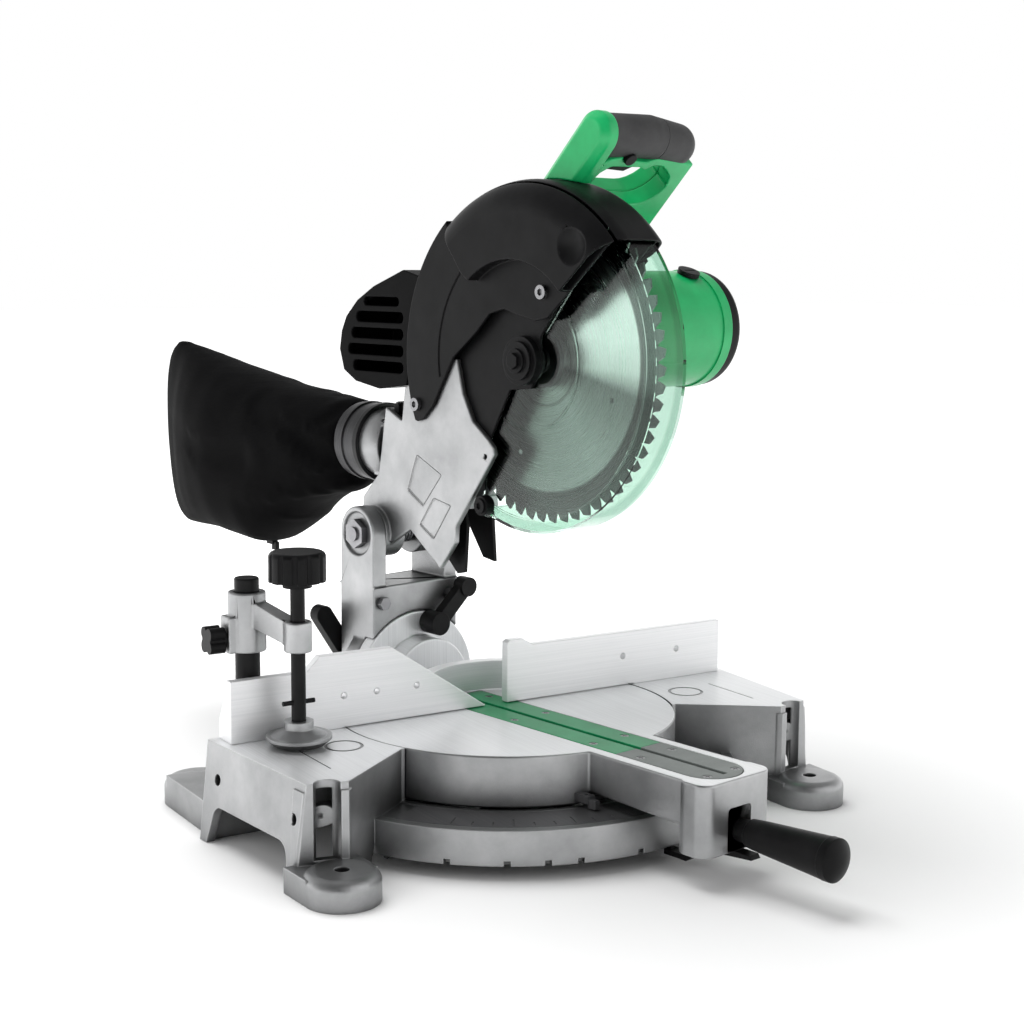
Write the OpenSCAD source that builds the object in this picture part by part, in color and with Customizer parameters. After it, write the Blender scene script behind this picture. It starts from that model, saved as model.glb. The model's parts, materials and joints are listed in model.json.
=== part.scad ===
// Compound mitre saw with a 255 mm blade, work clamp, dust bag and clear lower guard.
// Millimetres. Origin: mitre axis on the bench plane. X runs along the fence, Y to the back, Z up.
// The table stands at mitre_rest and the head at its upper stop, as in the picture.

/* [Blade] */
// Blade diameter
blade_d = 255; // [240:1:260]
// Blade plate thickness
blade_plate = 1.8; // [1.4:0.1:2.4]
// Number of teeth
blade_teeth = 60; // [40:2:80]

/* [Table] */
// Height of the table top above the bench
table_h = 78; // [72:1:90]
// Turntable radius
turntable_r = 138.5; // [134:0.5:142]
// Mitre angle the table stands at
mitre_rest = 9.5; // [0:0.5:15]
// Width of the kerf insert
insert_w = 48; // [42:1:52]
// Width of the kerf slot
kerf_w = 5; // [4:0.5:7]

/* [Base] */
// Half spacing of the bench bolts across
bench_x = 215.5; // [210:0.5:220]
// Half spacing of the bench bolts front to back
bench_y = 130.5; // [126:0.5:136]
// Radius of a bench bolt hole
bench_r = 5.5; // [4:0.5:6.5]
// Width of the ledge from the turntable to the rim of the front ring
ring_ledge = 49.5; // [46:0.5:53]
// Casting wall thickness
wall = 6; // [5:0.5:7]

/* [Fence] */
// Half length of the fence
fence_half = 235; // [228:1:240]
// Height of the low left part of the fence
fence_low = 48.5; // [44:0.5:52]
// Height of the high left part of the fence
fence_high = 59.5; // [56:0.5:62]
// Height of the right part of the fence
fence_right = 47; // [42:0.5:52]

/* [Head] */
// Height of the chop pivot above the table
pivot_up = 133; // [130:1:137]
// Distance of the chop pivot behind the mitre axis
pivot_y = 141; // [139:0.5:144]
// Radius of the motor housing
motor_r = 49; // [46:0.5:52]
// Far end of the motor housing
motor_end = 190; // [175:1:205]
// Overall width of the handle loop
handle_w = 112; // [106:1:120]

/* [Clamp] */
// Clamp post diameter
post_d = 19; // [16:0.5:21]
// Top of the clamp post above the table
post_up = 123.7; // [118:0.5:130]
// Clamp screw diameter
clamp_screw_d = 11; // [9:0.5:12]

/* [Hidden] */
$fn = 64;
eps = 0.02;
run = 0.04;
gap = 0.3;
blade_r = blade_d / 2;
blade_y = -44.3;
blade_z = table_h + 287.6;
pivot_z = table_h + pivot_up;
kerf_half = kerf_w / 2;
insert_half = insert_w / 2;
insert_t = 4;
well_r = turntable_r + 1;
ledge_z = 37.5;
foot_h = 22;
fence_y = 15;
fence_t = 8;
fence_gap = 10.5;
// lower guard, hood and their side planes
guard_in = blade_r + 5;
guard_out = guard_in + 2;
hood_in = guard_out + 0.8;
hood_out = hood_in + 2.4;
arm_l0 = -26;
arm_l1 = -21;
plate_l0 = -29.2;
plate_l1 = -26.3;
web_r0 = 18.4;
web_r1 = 28;
// reduction gear
gear_m = 1.25;
gear_n = 39;
pinion_n = 12;
gear_a = (gear_n + pinion_n) * gear_m / 2;
gear_dir = 39;
motor_y = blade_y + gear_a * cos(gear_dir);
motor_z = blade_z + gear_a * sin(gear_dir);
// tilt bracket and hub
hub_r = 42;
hub_y = 97;
ring_y = 117;
ring_y1 = 130;
tilt_r = 63;
brk_half = 46;
ear_t = 14.5;
ear_r = 23.2;
brk_y0 = 117.6;
brk_y1 = 165;
ear_in = brk_half - ear_t;
shaft_r = 10;
// handle loop plane
loop_y = -54;
loop_z = blade_z + 134.4;
loop_lean = 45;
loop_half = 17;
// dust outlet
chute_z = blade_z - 80.6;
chute_r = 31;
ring_r = turntable_r + ring_ledge;
// clamp
post_x = -212;
post_y = 35;
post_r = post_d / 2;
screw_x = -192;
screw_y = -13;
screw_r = clamp_screw_d / 2;
arm_z = table_h + 87;

// Shared forms
module mitred() { rotate([0, 0, mitre_rest]) children(); }
module yz(x0, x1) { translate([x0, 0, 0]) rotate([90, 0, 90]) linear_extrude(x1 - x0) children(); }
module xz(y0, y1) { translate([0, y1, 0]) rotate([90, 0, 0]) linear_extrude(y1 - y0) children(); }
module xy(z0, z1) { translate([0, 0, z0]) linear_extrude(z1 - z0) children(); }
module xcyl(r, x0, x1, y, z) { translate([x0, y, z]) rotate([0, 90, 0]) cylinder(r = r, h = x1 - x0); }
module ycyl(r, y0, y1, x, z) { translate([x, y0, z]) rotate([-90, 0, 0]) cylinder(r = r, h = y1 - y0); }
module zcyl(r, z0, z1, x, y) { translate([x, y, z0]) cylinder(r = r, h = z1 - z0); }
module xhex(af, x0, x1, y, z) {
  translate([x0, y, z]) rotate([0, 90, 0]) cylinder(r = af / 2 / cos(30), h = x1 - x0, $fn = 6);
}
module yhex(af, y0, y1, x, z) {
  translate([x, y0, z]) rotate([-90, 0, 0]) cylinder(r = af / 2 / cos(30), h = y1 - y0, $fn = 6);
}
module zhex(af, z0, z1, x, y) {
  translate([x, y, z0]) cylinder(r = af / 2 / cos(30), h = z1 - z0, $fn = 6);
}
module box(x0, x1, y0, y1, z0, z1) { translate([x0, y0, z0]) cube([x1 - x0, y1 - y0, z1 - z0]); }
module rrect(x0, y0, x1, y1, r) {
  translate([x0 + r, y0]) square([x1 - x0 - 2 * r, y1 - y0]);
  translate([x0, y0 + r]) square([x1 - x0, y1 - y0 - 2 * r]);
  for (x = [x0 + r, x1 - r], y = [y0 + r, y1 - r]) translate([x, y]) circle(r);
}
module bar2(p, q, r) {
  len = norm(q - p);
  translate(p) circle(r);
  translate(q) circle(r);
  translate(p) rotate(atan2(q[1] - p[1], q[0] - p[0])) translate([0, -r]) square([len, 2 * r]);
}
module both_sides() {
  children();
  mirror([1, 0, 0]) children();
}

// Base: wings, front ring, feet
module wing_plan(d) {
  polygon([
    [90, 40 - d],
    [253 - d, 40 - d],
    [253 - d, -60],
    [247 - d, -101 + d],
    [200 - d * 0.4, -111 + d],
    [129.5, -59 + d],
    [90, -59 + d]
  ]);
}
module side_draft(d) {
  translate([243.5 - d, 39, table_h]) rotate([0, 0, -5.41]) rotate([0, -5.86, 0])
    translate([0, -300, -200]) cube([90, 600, 300]);
}
module wing_block(d, top) {
  difference() {
    xy(-eps, top) wing_plan(d);
    side_draft(d);
  }
}
module foot_lug(y) {
  translate([bench_x, y, 0]) rotate_extrude() {
    square([20, foot_h]);
    square([28, foot_h - 8]);
    translate([20, foot_h - 8]) circle(8);
  }
}
module wing_shell() {
  difference() {
    wing_block(0, table_h);
    translate([0, 0, -wall]) wing_block(wall, table_h);
    translate([0, 0, -1]) cylinder(r = well_r, h = table_h + 2);
  }
  intersection() {
    wing_block(0, table_h);
    difference() {
      translate([0, 0, ledge_z - 26]) cylinder(r = well_r + wall, h = table_h - ledge_z + 26);
      translate([0, 0, -1]) cylinder(r = well_r, h = table_h + 2);
    }
  }
}
module wing_foot() {
  foot_lug(-bench_y);
  foot_lug(bench_y);
  difference() {
    xy(0, foot_h - 3) polygon([[188, -98], [245, -98], [bench_x + 28, -bench_y], [bench_x - 28, -bench_y]]);
    xy(-1, foot_h - 3 - wall) polygon([[196, -96], [238, -96], [238, -112], [196, -112]]);
  }
  difference() {
    box(bench_x - 28, bench_x + 28, 34, bench_y, 0, foot_h + 4);
    box(bench_x - 22, bench_x + 22, 40, bench_y - 24, -1, foot_h - 3);
  }
}
module wing_ribs() {
  zcyl(7, 4, table_h - 6, 203, -106);
  zcyl(7, 4, table_h - 6, 231, -97);
  zcyl(post_r + 7, foot_h, table_h - eps, -post_x, post_y);
  for (x = [156, 186]) zcyl(9, table_h - 26, table_h - eps, x, 30);
}
module base_half() {
  difference() {
    union() {
      wing_shell();
      wing_foot();
      intersection() {
        wing_ribs();
        union() {
          wing_block(-1.5, table_h);
          zcyl(post_r + 7, foot_h, table_h - eps, -post_x, post_y);
        }
      }
      // bosses behind the holes for the support bars
      intersection() {
        for (y = [20, -94]) xcyl(9, 200, 260, y, table_h - 27);
        wing_block(0, table_h);
      }
    }
    // arch in the side between the feet
    yz(150, 270) union() {
      rrect(-86, -30, 24, 31, 12);
      polygon([[-92, -1], [-86, 20], [24, 20], [30, -1]]);
    }
    // driver groove above the front bench bolt
    zcyl(10, foot_h, table_h + 1, bench_x, -bench_y + 22);
    zcyl(14, foot_h, table_h + 1, bench_x, -bench_y);
    for (y = [-bench_y, bench_y]) zcyl(bench_r, -1, foot_h + 6, bench_x, y);
    xcyl(4.5, 206, 260, 20, table_h - 27);
    xcyl(4.5, 214, 260, -94, table_h - 27);
    zcyl(post_r + run, foot_h - 1, table_h + 1, -post_x, post_y);
    for (x = [156, 186]) zcyl(4.05, table_h - 22, table_h + 1, x, 30);
    // engraved line and round mark on the wing top
    box(197, 198.2, -78, -18, table_h - 0.8, table_h + 1);
    difference() {
      zcyl(15, table_h - 0.6, table_h + 1, 163, -30);
      zcyl(12.5, table_h - 1, table_h + 1, 163, -30);
    }
  }
}
module front_ring() {
  intersection() {
    difference() {
      cylinder(r = ring_r, h = ledge_z);
      translate([0, 0, -1]) cylinder(r = well_r, h = ledge_z + 2);
      difference() {
        translate([0, 0, -1]) cylinder(r = ring_r - wall, h = ledge_z - wall + 1);
        translate([0, 0, -2]) cylinder(r = well_r + wall, h = ledge_z);
      }
      translate([0, 0, -1]) cylinder(r = ring_r + 5, h = 12);
      // recess for the mitre scale
      difference() {
        translate([0, 0, ledge_z - 1]) cylinder(r = ring_r - 8, h = 3);
        translate([0, 0, ledge_z - 2]) cylinder(r = well_r + 5, h = 5);
      }
      // detent notches
      for (a = [-45, -31.6, -22.5, -15, 0, 15, 22.5, 31.6, 45])
        rotate([0, 0, a]) box(-2.5, 2.5, -ring_r - 2, -ring_r + 5, 10, 15);
    }
    xy(0, table_h) polygon([[0, 0], [-330, -110], [-330, -330], [330, -330], [330, -110]]);
  }
}
module well_floor() {
  difference() {
    union() {
      intersection() {
        translate([0, 0, 11]) cylinder(r = well_r + 3, h = 6);
        box(-200, 200, -200, 36, 0, 40);
      }
      translate([0, 0, 11]) cylinder(r = 88, h = 6);
      cylinder(r = 26, h = ledge_z - 1);
      for (a = [0, 45, 90, 135, 180]) rotate([0, 0, a - 90 - 90]) box(20, well_r + 3, -3, 3, 11, 26);
    }
    translate([0, 0, -1]) cylinder(r = 8 + run, h = 60);
    translate([0, 0, -1]) cylinder(r = 15, h = 11);
  }
}
module base_casting() {
  color([0.72, 0.73, 0.74]) {
    union() {
      both_sides() base_half();
      front_ring();
      well_floor();
    }
  }
}
// Mitre scale band in the ring
module mitre_scale() {
  color([0.35, 0.36, 0.37]) difference() {
    intersection() {
      difference() {
        translate([0, 0, ledge_z - 1]) cylinder(r = ring_r - 8 - gap, h = 1);
        translate([0, 0, ledge_z - 2]) cylinder(r = well_r + 5 + gap, h = 5);
      }
      xy(0, table_h) polygon([[0, 0], [-330, -200], [-330, -330], [330, -330], [330, -200]]);
    }
    for (a = [-45 : 5 : 45])
      rotate([0, 0, a])
        box(-0.6, 0.6, -ring_r + 12, -ring_r + (a % 15 == 0 ? 26 : 19), ledge_z - 0.5, ledge_z + 1);
  }
}
module pivot_bolt() {
  color([0.55, 0.56, 0.58]) {
    zcyl(8, 10, table_h - 12.5, 0, 0);
    zhex(22, table_h - 12.5, table_h - 6, 0, 0);
    zhex(22, 1.5, 10, 0, 0);
  }
}

// Fence: two faces joined by the arched bridge
module fence_left2() {
  polygon([
    [-fence_half, table_h],
    [-fence_half, table_h + fence_low],
    [-172, table_h + fence_low],
    [-160.5, table_h + fence_high],
    [-97, table_h + fence_high],
    [-fence_gap, table_h + 1.5],
    [-fence_gap, table_h + 0.6],
    [-well_r - 2, table_h + 0.6],
    [-well_r - 2, table_h]
  ]);
}
module fence_right2() {
  polygon([
    [fence_gap, table_h + 0.6],
    [fence_gap, table_h + fence_right + 4],
    [fence_gap + 3, table_h + fence_right + 6],
    [26, table_h + fence_right + 6],
    [36, table_h + fence_right],
    [fence_half, table_h + fence_right],
    [fence_half, table_h],
    [well_r + 2, table_h],
    [well_r + 2, table_h + 0.6]
  ]);
}
module fence_end(x0, x1, up) {
  yz(x0, x1) polygon([
    [fence_y + 1, table_h],
    [fence_y + 24, table_h],
    [fence_y + 24, table_h + 14],
    [fence_y + fence_t, table_h + up - 6],
    [fence_y + 1, table_h + up - 6]
  ]);
}
module fence() {
  color([0.80, 0.81, 0.82]) difference() {
    union() {
      xz(fence_y, fence_y + fence_t) fence_left2();
      xz(fence_y, fence_y + fence_t) fence_right2();
      both_sides() box(well_r + 2, fence_half, fence_y + 1, fence_y + 24, table_h, table_h + 8);
      fence_end(-fence_half, -fence_half + 6, fence_low);
      fence_end(fence_half - 6, fence_half, fence_right);
      fence_end(-172, -166, fence_low);
      fence_end(166, 172, fence_right);
      difference() {
        intersection() {
          translate([0, 0, table_h + 1.4]) cylinder(r = 72, h = 24.6);
          box(-80, 80, fence_y + 2, 90, table_h, table_h + 40);
        }
        translate([0, 0, table_h]) cylinder(r = 62, h = 40);
        // keep the inside of the bridge clear of the left slope
        xz(fence_y - 1, fence_y + fence_t)
          polygon([[-97, table_h + 60], [-fence_gap, table_h], [60, table_h + 60]]);
      }
    }
    for (x = [-140, -111, -75, 129, 187]) ycyl(2.6, fence_y - 1, fence_y + fence_t + 1, x, table_h + 26);
    both_sides() for (x = [156, 186]) zcyl(4.3, table_h - 1, table_h + 9, x, 30);
    // room for the clamp post on either side
    both_sides()
      box(-post_x - post_r - 2, -post_x + post_r + 2, post_y - post_r - 1, 60, table_h - 1, table_h + 40);
  }
}
module fence_bolts() {
  color([0.25, 0.25, 0.26]) both_sides() for (x = [156, 186]) {
    zcyl(4, table_h - 20, table_h + 8, x, 30);
    zhex(11, table_h + 8, table_h + 13, x, 30);
  }
}
module clamp_post() {
  color([0.05, 0.05, 0.055]) {
    zcyl(post_r, foot_h + 8, table_h + post_up - 3, post_x, post_y);
    translate([post_x, post_y, table_h + post_up - 3]) rotate_extrude() {
      square([post_r - 1.5, 3]);
      square([post_r, 1.5]);
      translate([post_r - 1.5, 1.5]) circle(1.5);
    }
  }
}

// Turntable with its arm and the bevel hub
module arm_plan() { rrect(-37, -252, 37, -222, 11); }
module turntable() {
  color([0.74, 0.75, 0.76]) mitred() difference() {
    union() {
      difference() {
        translate([0, 0, ledge_z + 0.8]) cylinder(r = turntable_r, h = table_h - ledge_z - 0.8);
        difference() {
          translate([0, 0, 0]) cylinder(r = turntable_r - wall, h = table_h - 9);
          cylinder(r = 22, h = table_h);
          box(-200, 200, 84, 200, 0, table_h);
          for (a = [35, 90, 145, 215, 325])
            rotate([0, 0, a]) box(0, turntable_r, -3, 3, ledge_z + 2, table_h);
          box(-insert_half - 5, insert_half + 5, -200, 60, ledge_z + 2, table_h);
        }
      }
      box(-35, 35, -228, -110, ledge_z + 8.5, table_h);
      xy(24, table_h) arm_plan();
      ycyl(hub_r, hub_y, ring_y + 1, 0, table_h);
      ycyl(tilt_r, ring_y, ring_y1, 0, table_h);
      box(-40, 40, 84, ring_y + 1, ledge_z + 0.8, table_h);
    }
    // arm and kerf channel
    box(-29, 29, -220, -turntable_r - 4, ledge_z, table_h - 9);
    box(-insert_half + 4, insert_half - 4, -turntable_r - 4, -20, ledge_z - 1, table_h - 9);
    box(-7, 7, -236, -20, ledge_z + 8, table_h + 1);
    box(-insert_half - 0.2, insert_half + 0.2, -246.5 + insert_half, 60.2, table_h - insert_t, table_h + 1);
    zcyl(insert_half + 0.2, table_h - insert_t, table_h + 1, 0, -246.5 + insert_half);
    // mitre pivot
    zcyl(8 + run, ledge_z - 2, table_h + 1, 0, 0);
    zcyl(15, table_h - 12.7, table_h + 1, 0, 0);
    // insert screws
    for (x = [-15, 15]) zcyl(1.6, table_h - 14, table_h, x, -234);
    for (x = [-17, 17], y = [-170, -120, -30, 40]) zcyl(1.6, table_h - 9.5, table_h, x, y);
    // handle notch and lock rod
    box(-11, 11, -256, -240, 26, 56);
    ycyl(5 + run, -256, -180, 0, 40);
    box(-9, 9, -256, -215, 20, 33);
    xcyl(1.5 + run, -20.1, 20.1, -236, 26);
    // bevel bolt and lever stud
    ycyl(8 + run, hub_y + 2, ring_y1 + 1, 0, table_h);
    ycyl(16, hub_y - 1, hub_y + 8.2, 0, table_h);
    ycyl(4 + run, ring_y - 1, ring_y1 + 1, 13, table_h + 53);
    // flat back edge behind the bevel ring
    box(-turntable_r, turntable_r, ring_y1, turntable_r + 1, 0, table_h + 1);
  }
}
module kerf_insert() {
  color([0.10, 0.48, 0.26]) mitred() difference() {
    box(-insert_half, insert_half, -151, 60, table_h - insert_t, table_h - 0.1);
    box(-kerf_half, kerf_half, -160, 42, table_h - 6, table_h + 1);
    for (x = [-17, 17], y = [-120, -30, 40]) {
      zcyl(1.9, table_h - 6, table_h + 1, x, y);
      zcyl(3.6, table_h - 1.6, table_h + 1, x, y);
    }
  }
}
module kerf_insert_front() {
  color([0.66, 0.67, 0.68]) mitred() difference() {
    union() {
      box(-insert_half, insert_half, -246.5 + insert_half, -151.3, table_h - insert_t, table_h - 0.1);
      zcyl(insert_half, table_h - insert_t, table_h - 0.1, 0, -246.5 + insert_half);
    }
    box(-kerf_half, kerf_half, -238, -140, table_h - 6, table_h + 1);
    for (p = [[-15, -234], [15, -234], [-17, -170], [17, -170]]) {
      zcyl(1.9, table_h - 6, table_h + 1, p[0], p[1]);
      zcyl(3.6, table_h - 1.6, table_h + 1, p[0], p[1]);
    }
  }
}
module kerf_screw(x, y) {
  difference() {
    union() {
      zcyl(1.55, table_h - 9, table_h - 1.6, x, y);
      zcyl(3.4, table_h - 1.6, table_h - 0.3, x, y);
    }
    box(x - 2.4, x + 2.4, y - 0.4, y + 0.4, table_h - 0.9, table_h);
    box(x - 0.4, x + 0.4, y - 2.4, y + 2.4, table_h - 0.9, table_h);
  }
}
module kerf_screws() {
  color([0.6, 0.6, 0.61]) mitred() {
    for (x = [-17, 17], y = [-170, -120, -30, 40]) kerf_screw(x, y);
    for (x = [-15, 15]) kerf_screw(x, -234);
  }
}
module mitre_pointer() {
  color([0.5, 0.5, 0.51]) mitred() difference() {
    union() {
      box(-46.5, -39, -turntable_r - 6, -turntable_r + 9, ledge_z + 4, ledge_z + 10);
      box(-45.5, -41, -turntable_r - 13, -turntable_r - 5, ledge_z + 1.2, ledge_z + 8);
    }
    cylinder(r = turntable_r + 0.05, h = table_h);
    translate([-43, -turntable_r - 1, 0]) cylinder(r = 1.5, h = table_h);
  }
}
module bevel_bolt() {
  color([0.55, 0.56, 0.58]) mitred() {
    ycyl(8, hub_y + 2.2, brk_y1 + 24, 0, table_h);
    ycyl(15, hub_y, hub_y + 8, 0, table_h);
    difference() {
      yhex(20, brk_y1 + 16.4, brk_y1 + 23, 0, table_h);
      ycyl(8 + run, brk_y1, brk_y1 + 30, 0, table_h);
    }
  }
}
// Mitre lock handle
module mitre_lock_rod() {
  color([0.12, 0.12, 0.12]) mitred() {
    ycyl(5, -262, -191, 0, 40);
    ycyl(8.5, -262, -252.8, 0, 40);
  }
}
module mitre_lock_grip() {
  color([0.03, 0.03, 0.032]) mitred() translate([0, -262.1, 40]) rotate([90, 0, 0]) rotate_extrude() {
    polygon([[0, 0], [9, 0], [10.5, 1.5], [11.5, 12], [15.6, 74], [15.6, 76], [0, 76]]);
    intersection() {
      translate([0, 76 - 22]) circle(27);
      translate([0, 70]) square([15.6, 30]);
    }
  }
}
module detent_lever() {
  color([0.15, 0.15, 0.16]) mitred() {
    yz(-5, 5) polygon([
        [-268, 22],
        [-266, 25],
        [-240, 25],
        [-222, 23],
        [-204, 9],
        [-184, 9],
        [-184, 5],
        [-206, 5],
        [-224, 18],
        [-246, 20]
      ]);
    xcyl(4.5, -8.5, 8.5, -236, 26);
    xcyl(1.5, -20, 20, -236, 26);
    box(-2, 2, -188, -184, 8, 11 - gap);
  }
}

// Bevel levers on the turntable
module bevel_pin_lever() {
  color([0.06, 0.06, 0.065]) mitred() {
    ycyl(10, ring_y - 18, ring_y - gap, 13, table_h + 53);
    ycyl(4, ring_y - 1, ring_y1 - 1, 13, table_h + 53);
    xz(ring_y - 17, ring_y - 8) bar2([13, table_h + 53], [44, table_h + 82], 6.5);
    ycyl(8.5, ring_y - 19, ring_y - 7, 44, table_h + 82);
  }
}
module bevel_clamp_lever() {
  color([0.06, 0.06, 0.065]) mitred() difference() {
    union() {
      ycyl(14, brk_y1 + 0.6, brk_y1 + 16, 0, table_h);
      xz(brk_y1 + 2, brk_y1 + 13) bar2([0, table_h], [-38, table_h + 26], 8);
      xz(brk_y1 + 2, brk_y1 + 13) bar2([-38, table_h + 26], [-61, table_h + 60], 8);
    }
    ycyl(8 + run, brk_y1, brk_y1 + 30, 0, table_h);
  }
}

// Tilt bracket and head pivot
module ear(x0, x1) {
  xcyl(ear_r, x0, x1, pivot_y, pivot_z);
  box(x0, x1, pivot_y - ear_r, pivot_y + ear_r, pivot_z - 60, pivot_z);
}
module tilt_bracket() {
  color([0.72, 0.73, 0.74]) mitred() difference() {
    union() {
      ycyl(tilt_r, ring_y1 + gap, ring_y1 + 16, 0, table_h);
      box(-brk_half, brk_half, brk_y0, brk_y1, table_h + 6, pivot_z - 44);
      ear(-brk_half, -ear_in);
      ear(ear_in, brk_half);
    }
    ycyl(tilt_r + 0.6, hub_y, ring_y1 + gap, 0, table_h);
    // hollow from behind, leaving a cross web for the bolt
    difference() {
      box(-brk_half + 8, brk_half - 8, ring_y1 + 16, brk_y1 + 1, table_h - 10, pivot_z - 52);
      ycyl(18, ring_y1, brk_y1, 0, table_h);
      box(-4, 4, ring_y1, brk_y1, table_h - 10, pivot_z);
    }
    ycyl(8 + run, hub_y, brk_y1 + 10, 0, table_h);
    xcyl(shaft_r + run, -brk_half - 1, brk_half + 1, pivot_y, pivot_z);
    xcyl(ear_r - 4.7, -brk_half - 1, -brk_half + 3, pivot_y, pivot_z);
    xcyl(ear_r - 4.7, brk_half - 3, brk_half + 1, pivot_y, pivot_z);
    for (x = [-37, 37]) ycyl(3 + run, brk_y0 - 1, brk_y0 + 21, x, pivot_z - 58);
  }
}
module stop_screws() {
  color([0.35, 0.35, 0.36]) mitred() for (x = [-37, 37]) {
    ycyl(3, brk_y0 - 1, brk_y0 + 20, x, pivot_z - 58);
    yhex(10, brk_y0 - 6, brk_y0 - eps, x, pivot_z - 58);
  }
}
module pivot_shaft() {
  color([0.62, 0.63, 0.64]) mitred() {
    xcyl(shaft_r, -brk_half + 1, brk_half - 3, pivot_y, pivot_z);
    xhex(22, -brk_half - 3, -brk_half + 3 - eps, pivot_y, pivot_z);
    xcyl(6, -brk_half - 5, -brk_half, pivot_y, pivot_z);
    xcyl(7, brk_half - 4, brk_half + 9, pivot_y, pivot_z);
  }
}
module pivot_nut() {
  color([0.5, 0.5, 0.51]) mitred() difference() {
    union() {
      xcyl(16, brk_half - 3 + eps, brk_half - 1, pivot_y, pivot_z);
      xhex(22, brk_half - 2, brk_half + 7, pivot_y, pivot_z);
    }
    xcyl(7 + run, brk_half - 10, brk_half + 10, pivot_y, pivot_z);
  }
}
// Torsion spring: wire swept along a helix round the pivot shaft
spring_steps = 16;
spring_turns = 5;
spring_r = shaft_r + 1.4;
spring_wire = 1.15;
module return_spring() {
  count = spring_steps * spring_turns;
  pitch = 15 / spring_turns;
  ring = 6;
  pts = [for (i = [0 : count], k = [0 : ring - 1])
    let (a = 360 * i / spring_steps, b = 360 * k / ring, r = spring_r + spring_wire * cos(b))
    [-7.5 + pitch * i / spring_steps + spring_wire * sin(b), pivot_y + r * cos(a), pivot_z + r * sin(a)]];
  near = [for (i = [0 : count - 1], k = [0 : ring - 1])
    [i * ring + k, i * ring + (k + 1) % ring, (i + 1) * ring + (k + 1) % ring]];
  far = [for (i = [0 : count - 1], k = [0 : ring - 1])
    [i * ring + k, (i + 1) * ring + (k + 1) % ring, (i + 1) * ring + k]];
  caps = [for (k = [1 : ring - 2], e = [0, 1])
    e == 0 ? [0, k + 1, k] : [count * ring, count * ring + k, count * ring + k + 1]];
  turn = ring * spring_steps;
  echo(spring_gap = min([for (i = [0 : len(pts) - turn - 1], k = [0 : ring - 1])
    norm(pts[i] - pts[i - i % ring + turn + k])]));
  color([0.4, 0.4, 0.42]) mitred() polyhedron(points = pts, faces = concat(near, far, caps));
}

// Head: outlines are drawn for a blade centre at these coordinates
drawn_y = -44.3;
drawn_z = 365.6;
module head2() { translate([blade_y - drawn_y, blade_z - drawn_z]) children(); }
module rev() { translate([0, blade_y, blade_z]) rotate([0, 90, 0]) rotate_extrude() children(); }
module disc_x(r, x0, x1) { xcyl(r, x0, x1, blade_y, blade_z); }
wall_r = hood_out + 1.3;
module arm2() {
  head2() polygon([
    [-13, 290],
    [-8, 282.5],
    [32.8, 228],
    [34, 214],
    [53.3, 190],
    [93, 218],
    [125, 200],
    [160, 215],
    [158, 240],
    [136, 262],
    [126, 319],
    [104, 309],
    [100, 337],
    [60, 352],
    [33, 364],
    [25, 336],
    [13, 315],
    [-6, 301.5],
    [-12, 296]
  ]);
}
module web2() {
  head2() {
    polygon([
      [-75, 345],
      [-20, 318],
      [30, 262],
      [93, 222],
      [125, 200],
      [160, 215],
      [158, 240],
      [132, 250],
      [110, 262],
      [104, 300],
      [92, 332],
      [60, 352],
      [40, 400]
    ]);
    translate([drawn_y, drawn_z]) circle(40);
  }
  translate([motor_y, motor_z]) circle(motor_r + 3);
}
module head_arm() {
  color([0.74, 0.75, 0.76]) mitred() difference() {
    union() {
      yz(arm_l0, arm_l1) difference() {
        arm2();
        translate([blade_y + 41.6, blade_z - 77.6]) circle(1.8);
      }
      yz(web_r0, web_r1) web2();
      intersection() {
        difference() {
          disc_x(wall_r + 7, arm_l1 - 1, web_r0 + 1);
          disc_x(wall_r, arm_l1 - 2, web_r0 + 2);
        }
        yz(arm_l1 - 1, web_r0 + 1) head2()
          polygon([[30, 232], [60, 232], [110, 262], [104, 300], [98, 337], [40, 300]]);
      }
      for (s = [-1, 1]) xcyl(22, s < 0 ? -ear_in + gap : 10, s < 0 ? -10 : ear_in - gap, pivot_y, pivot_z);
    }
    xcyl(shaft_r + run, -60, 60, pivot_y, pivot_z);
    xcyl(spring_r + 3, -9.9, 9.9, pivot_y, pivot_z);
    disc_x(30, 10, web_r1 + 1);
    xcyl(14, 10, web_r1 + 1, motor_y, motor_z);
    // opening for the dust outlet
    box(-18, 15.5, 40, 130, chute_z - 20, chute_z + 16);
    arm_reliefs();
  }
}
// light reliefs on the outside of the arm
module arm_reliefs() {
  yz(arm_l0 - 1, arm_l0 + 1.2) head2() polygon([[52, 268], [76, 240], [96, 252], [84, 282]]);
  yz(arm_l0 - 1, arm_l0 + 1.2) head2() polygon([[40, 244], [62, 214], [80, 224], [62, 248]]);
}
module centre_plate() {
  color([0.05, 0.05, 0.055]) mitred() difference() {
    union() {
      yz(arm_l1 + eps, arm_l1 + 2.8) {
        head2() polygon([
          [-82, 426],
          [-84, 414],
          [-60, 384],
          [-62, 362],
          [-50, 344],
          [-26, 342],
          [0, 297],
          [40, 290],
          [84, 300],
          [92, 330],
          [40, 404],
          [-20, 428]
        ]);
      }
      disc_x(16, arm_l1 + 1, -14.5);
      xcyl(6, plate_l1 + eps, arm_l1 + 1, blade_y - 27.5, blade_z + 52.8);
      disc_x(19, arm_l1 - 1, arm_l1 + 1);
    }
    disc_x(13, arm_l1 + 1.6, 0);
    disc_x(4, arm_l1 - 3, 0);
    xcyl(2 + run, plate_l1 - 1, arm_l1 + 4, blade_y - 27.5, blade_z + 52.8);
    // stay inside the hood and off the rear wall
    difference() {
      disc_x(400, arm_l1 - 2, 0);
      disc_x(wall_r - 0.5, arm_l1 - 5, 5);
    }
  }
}
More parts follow.
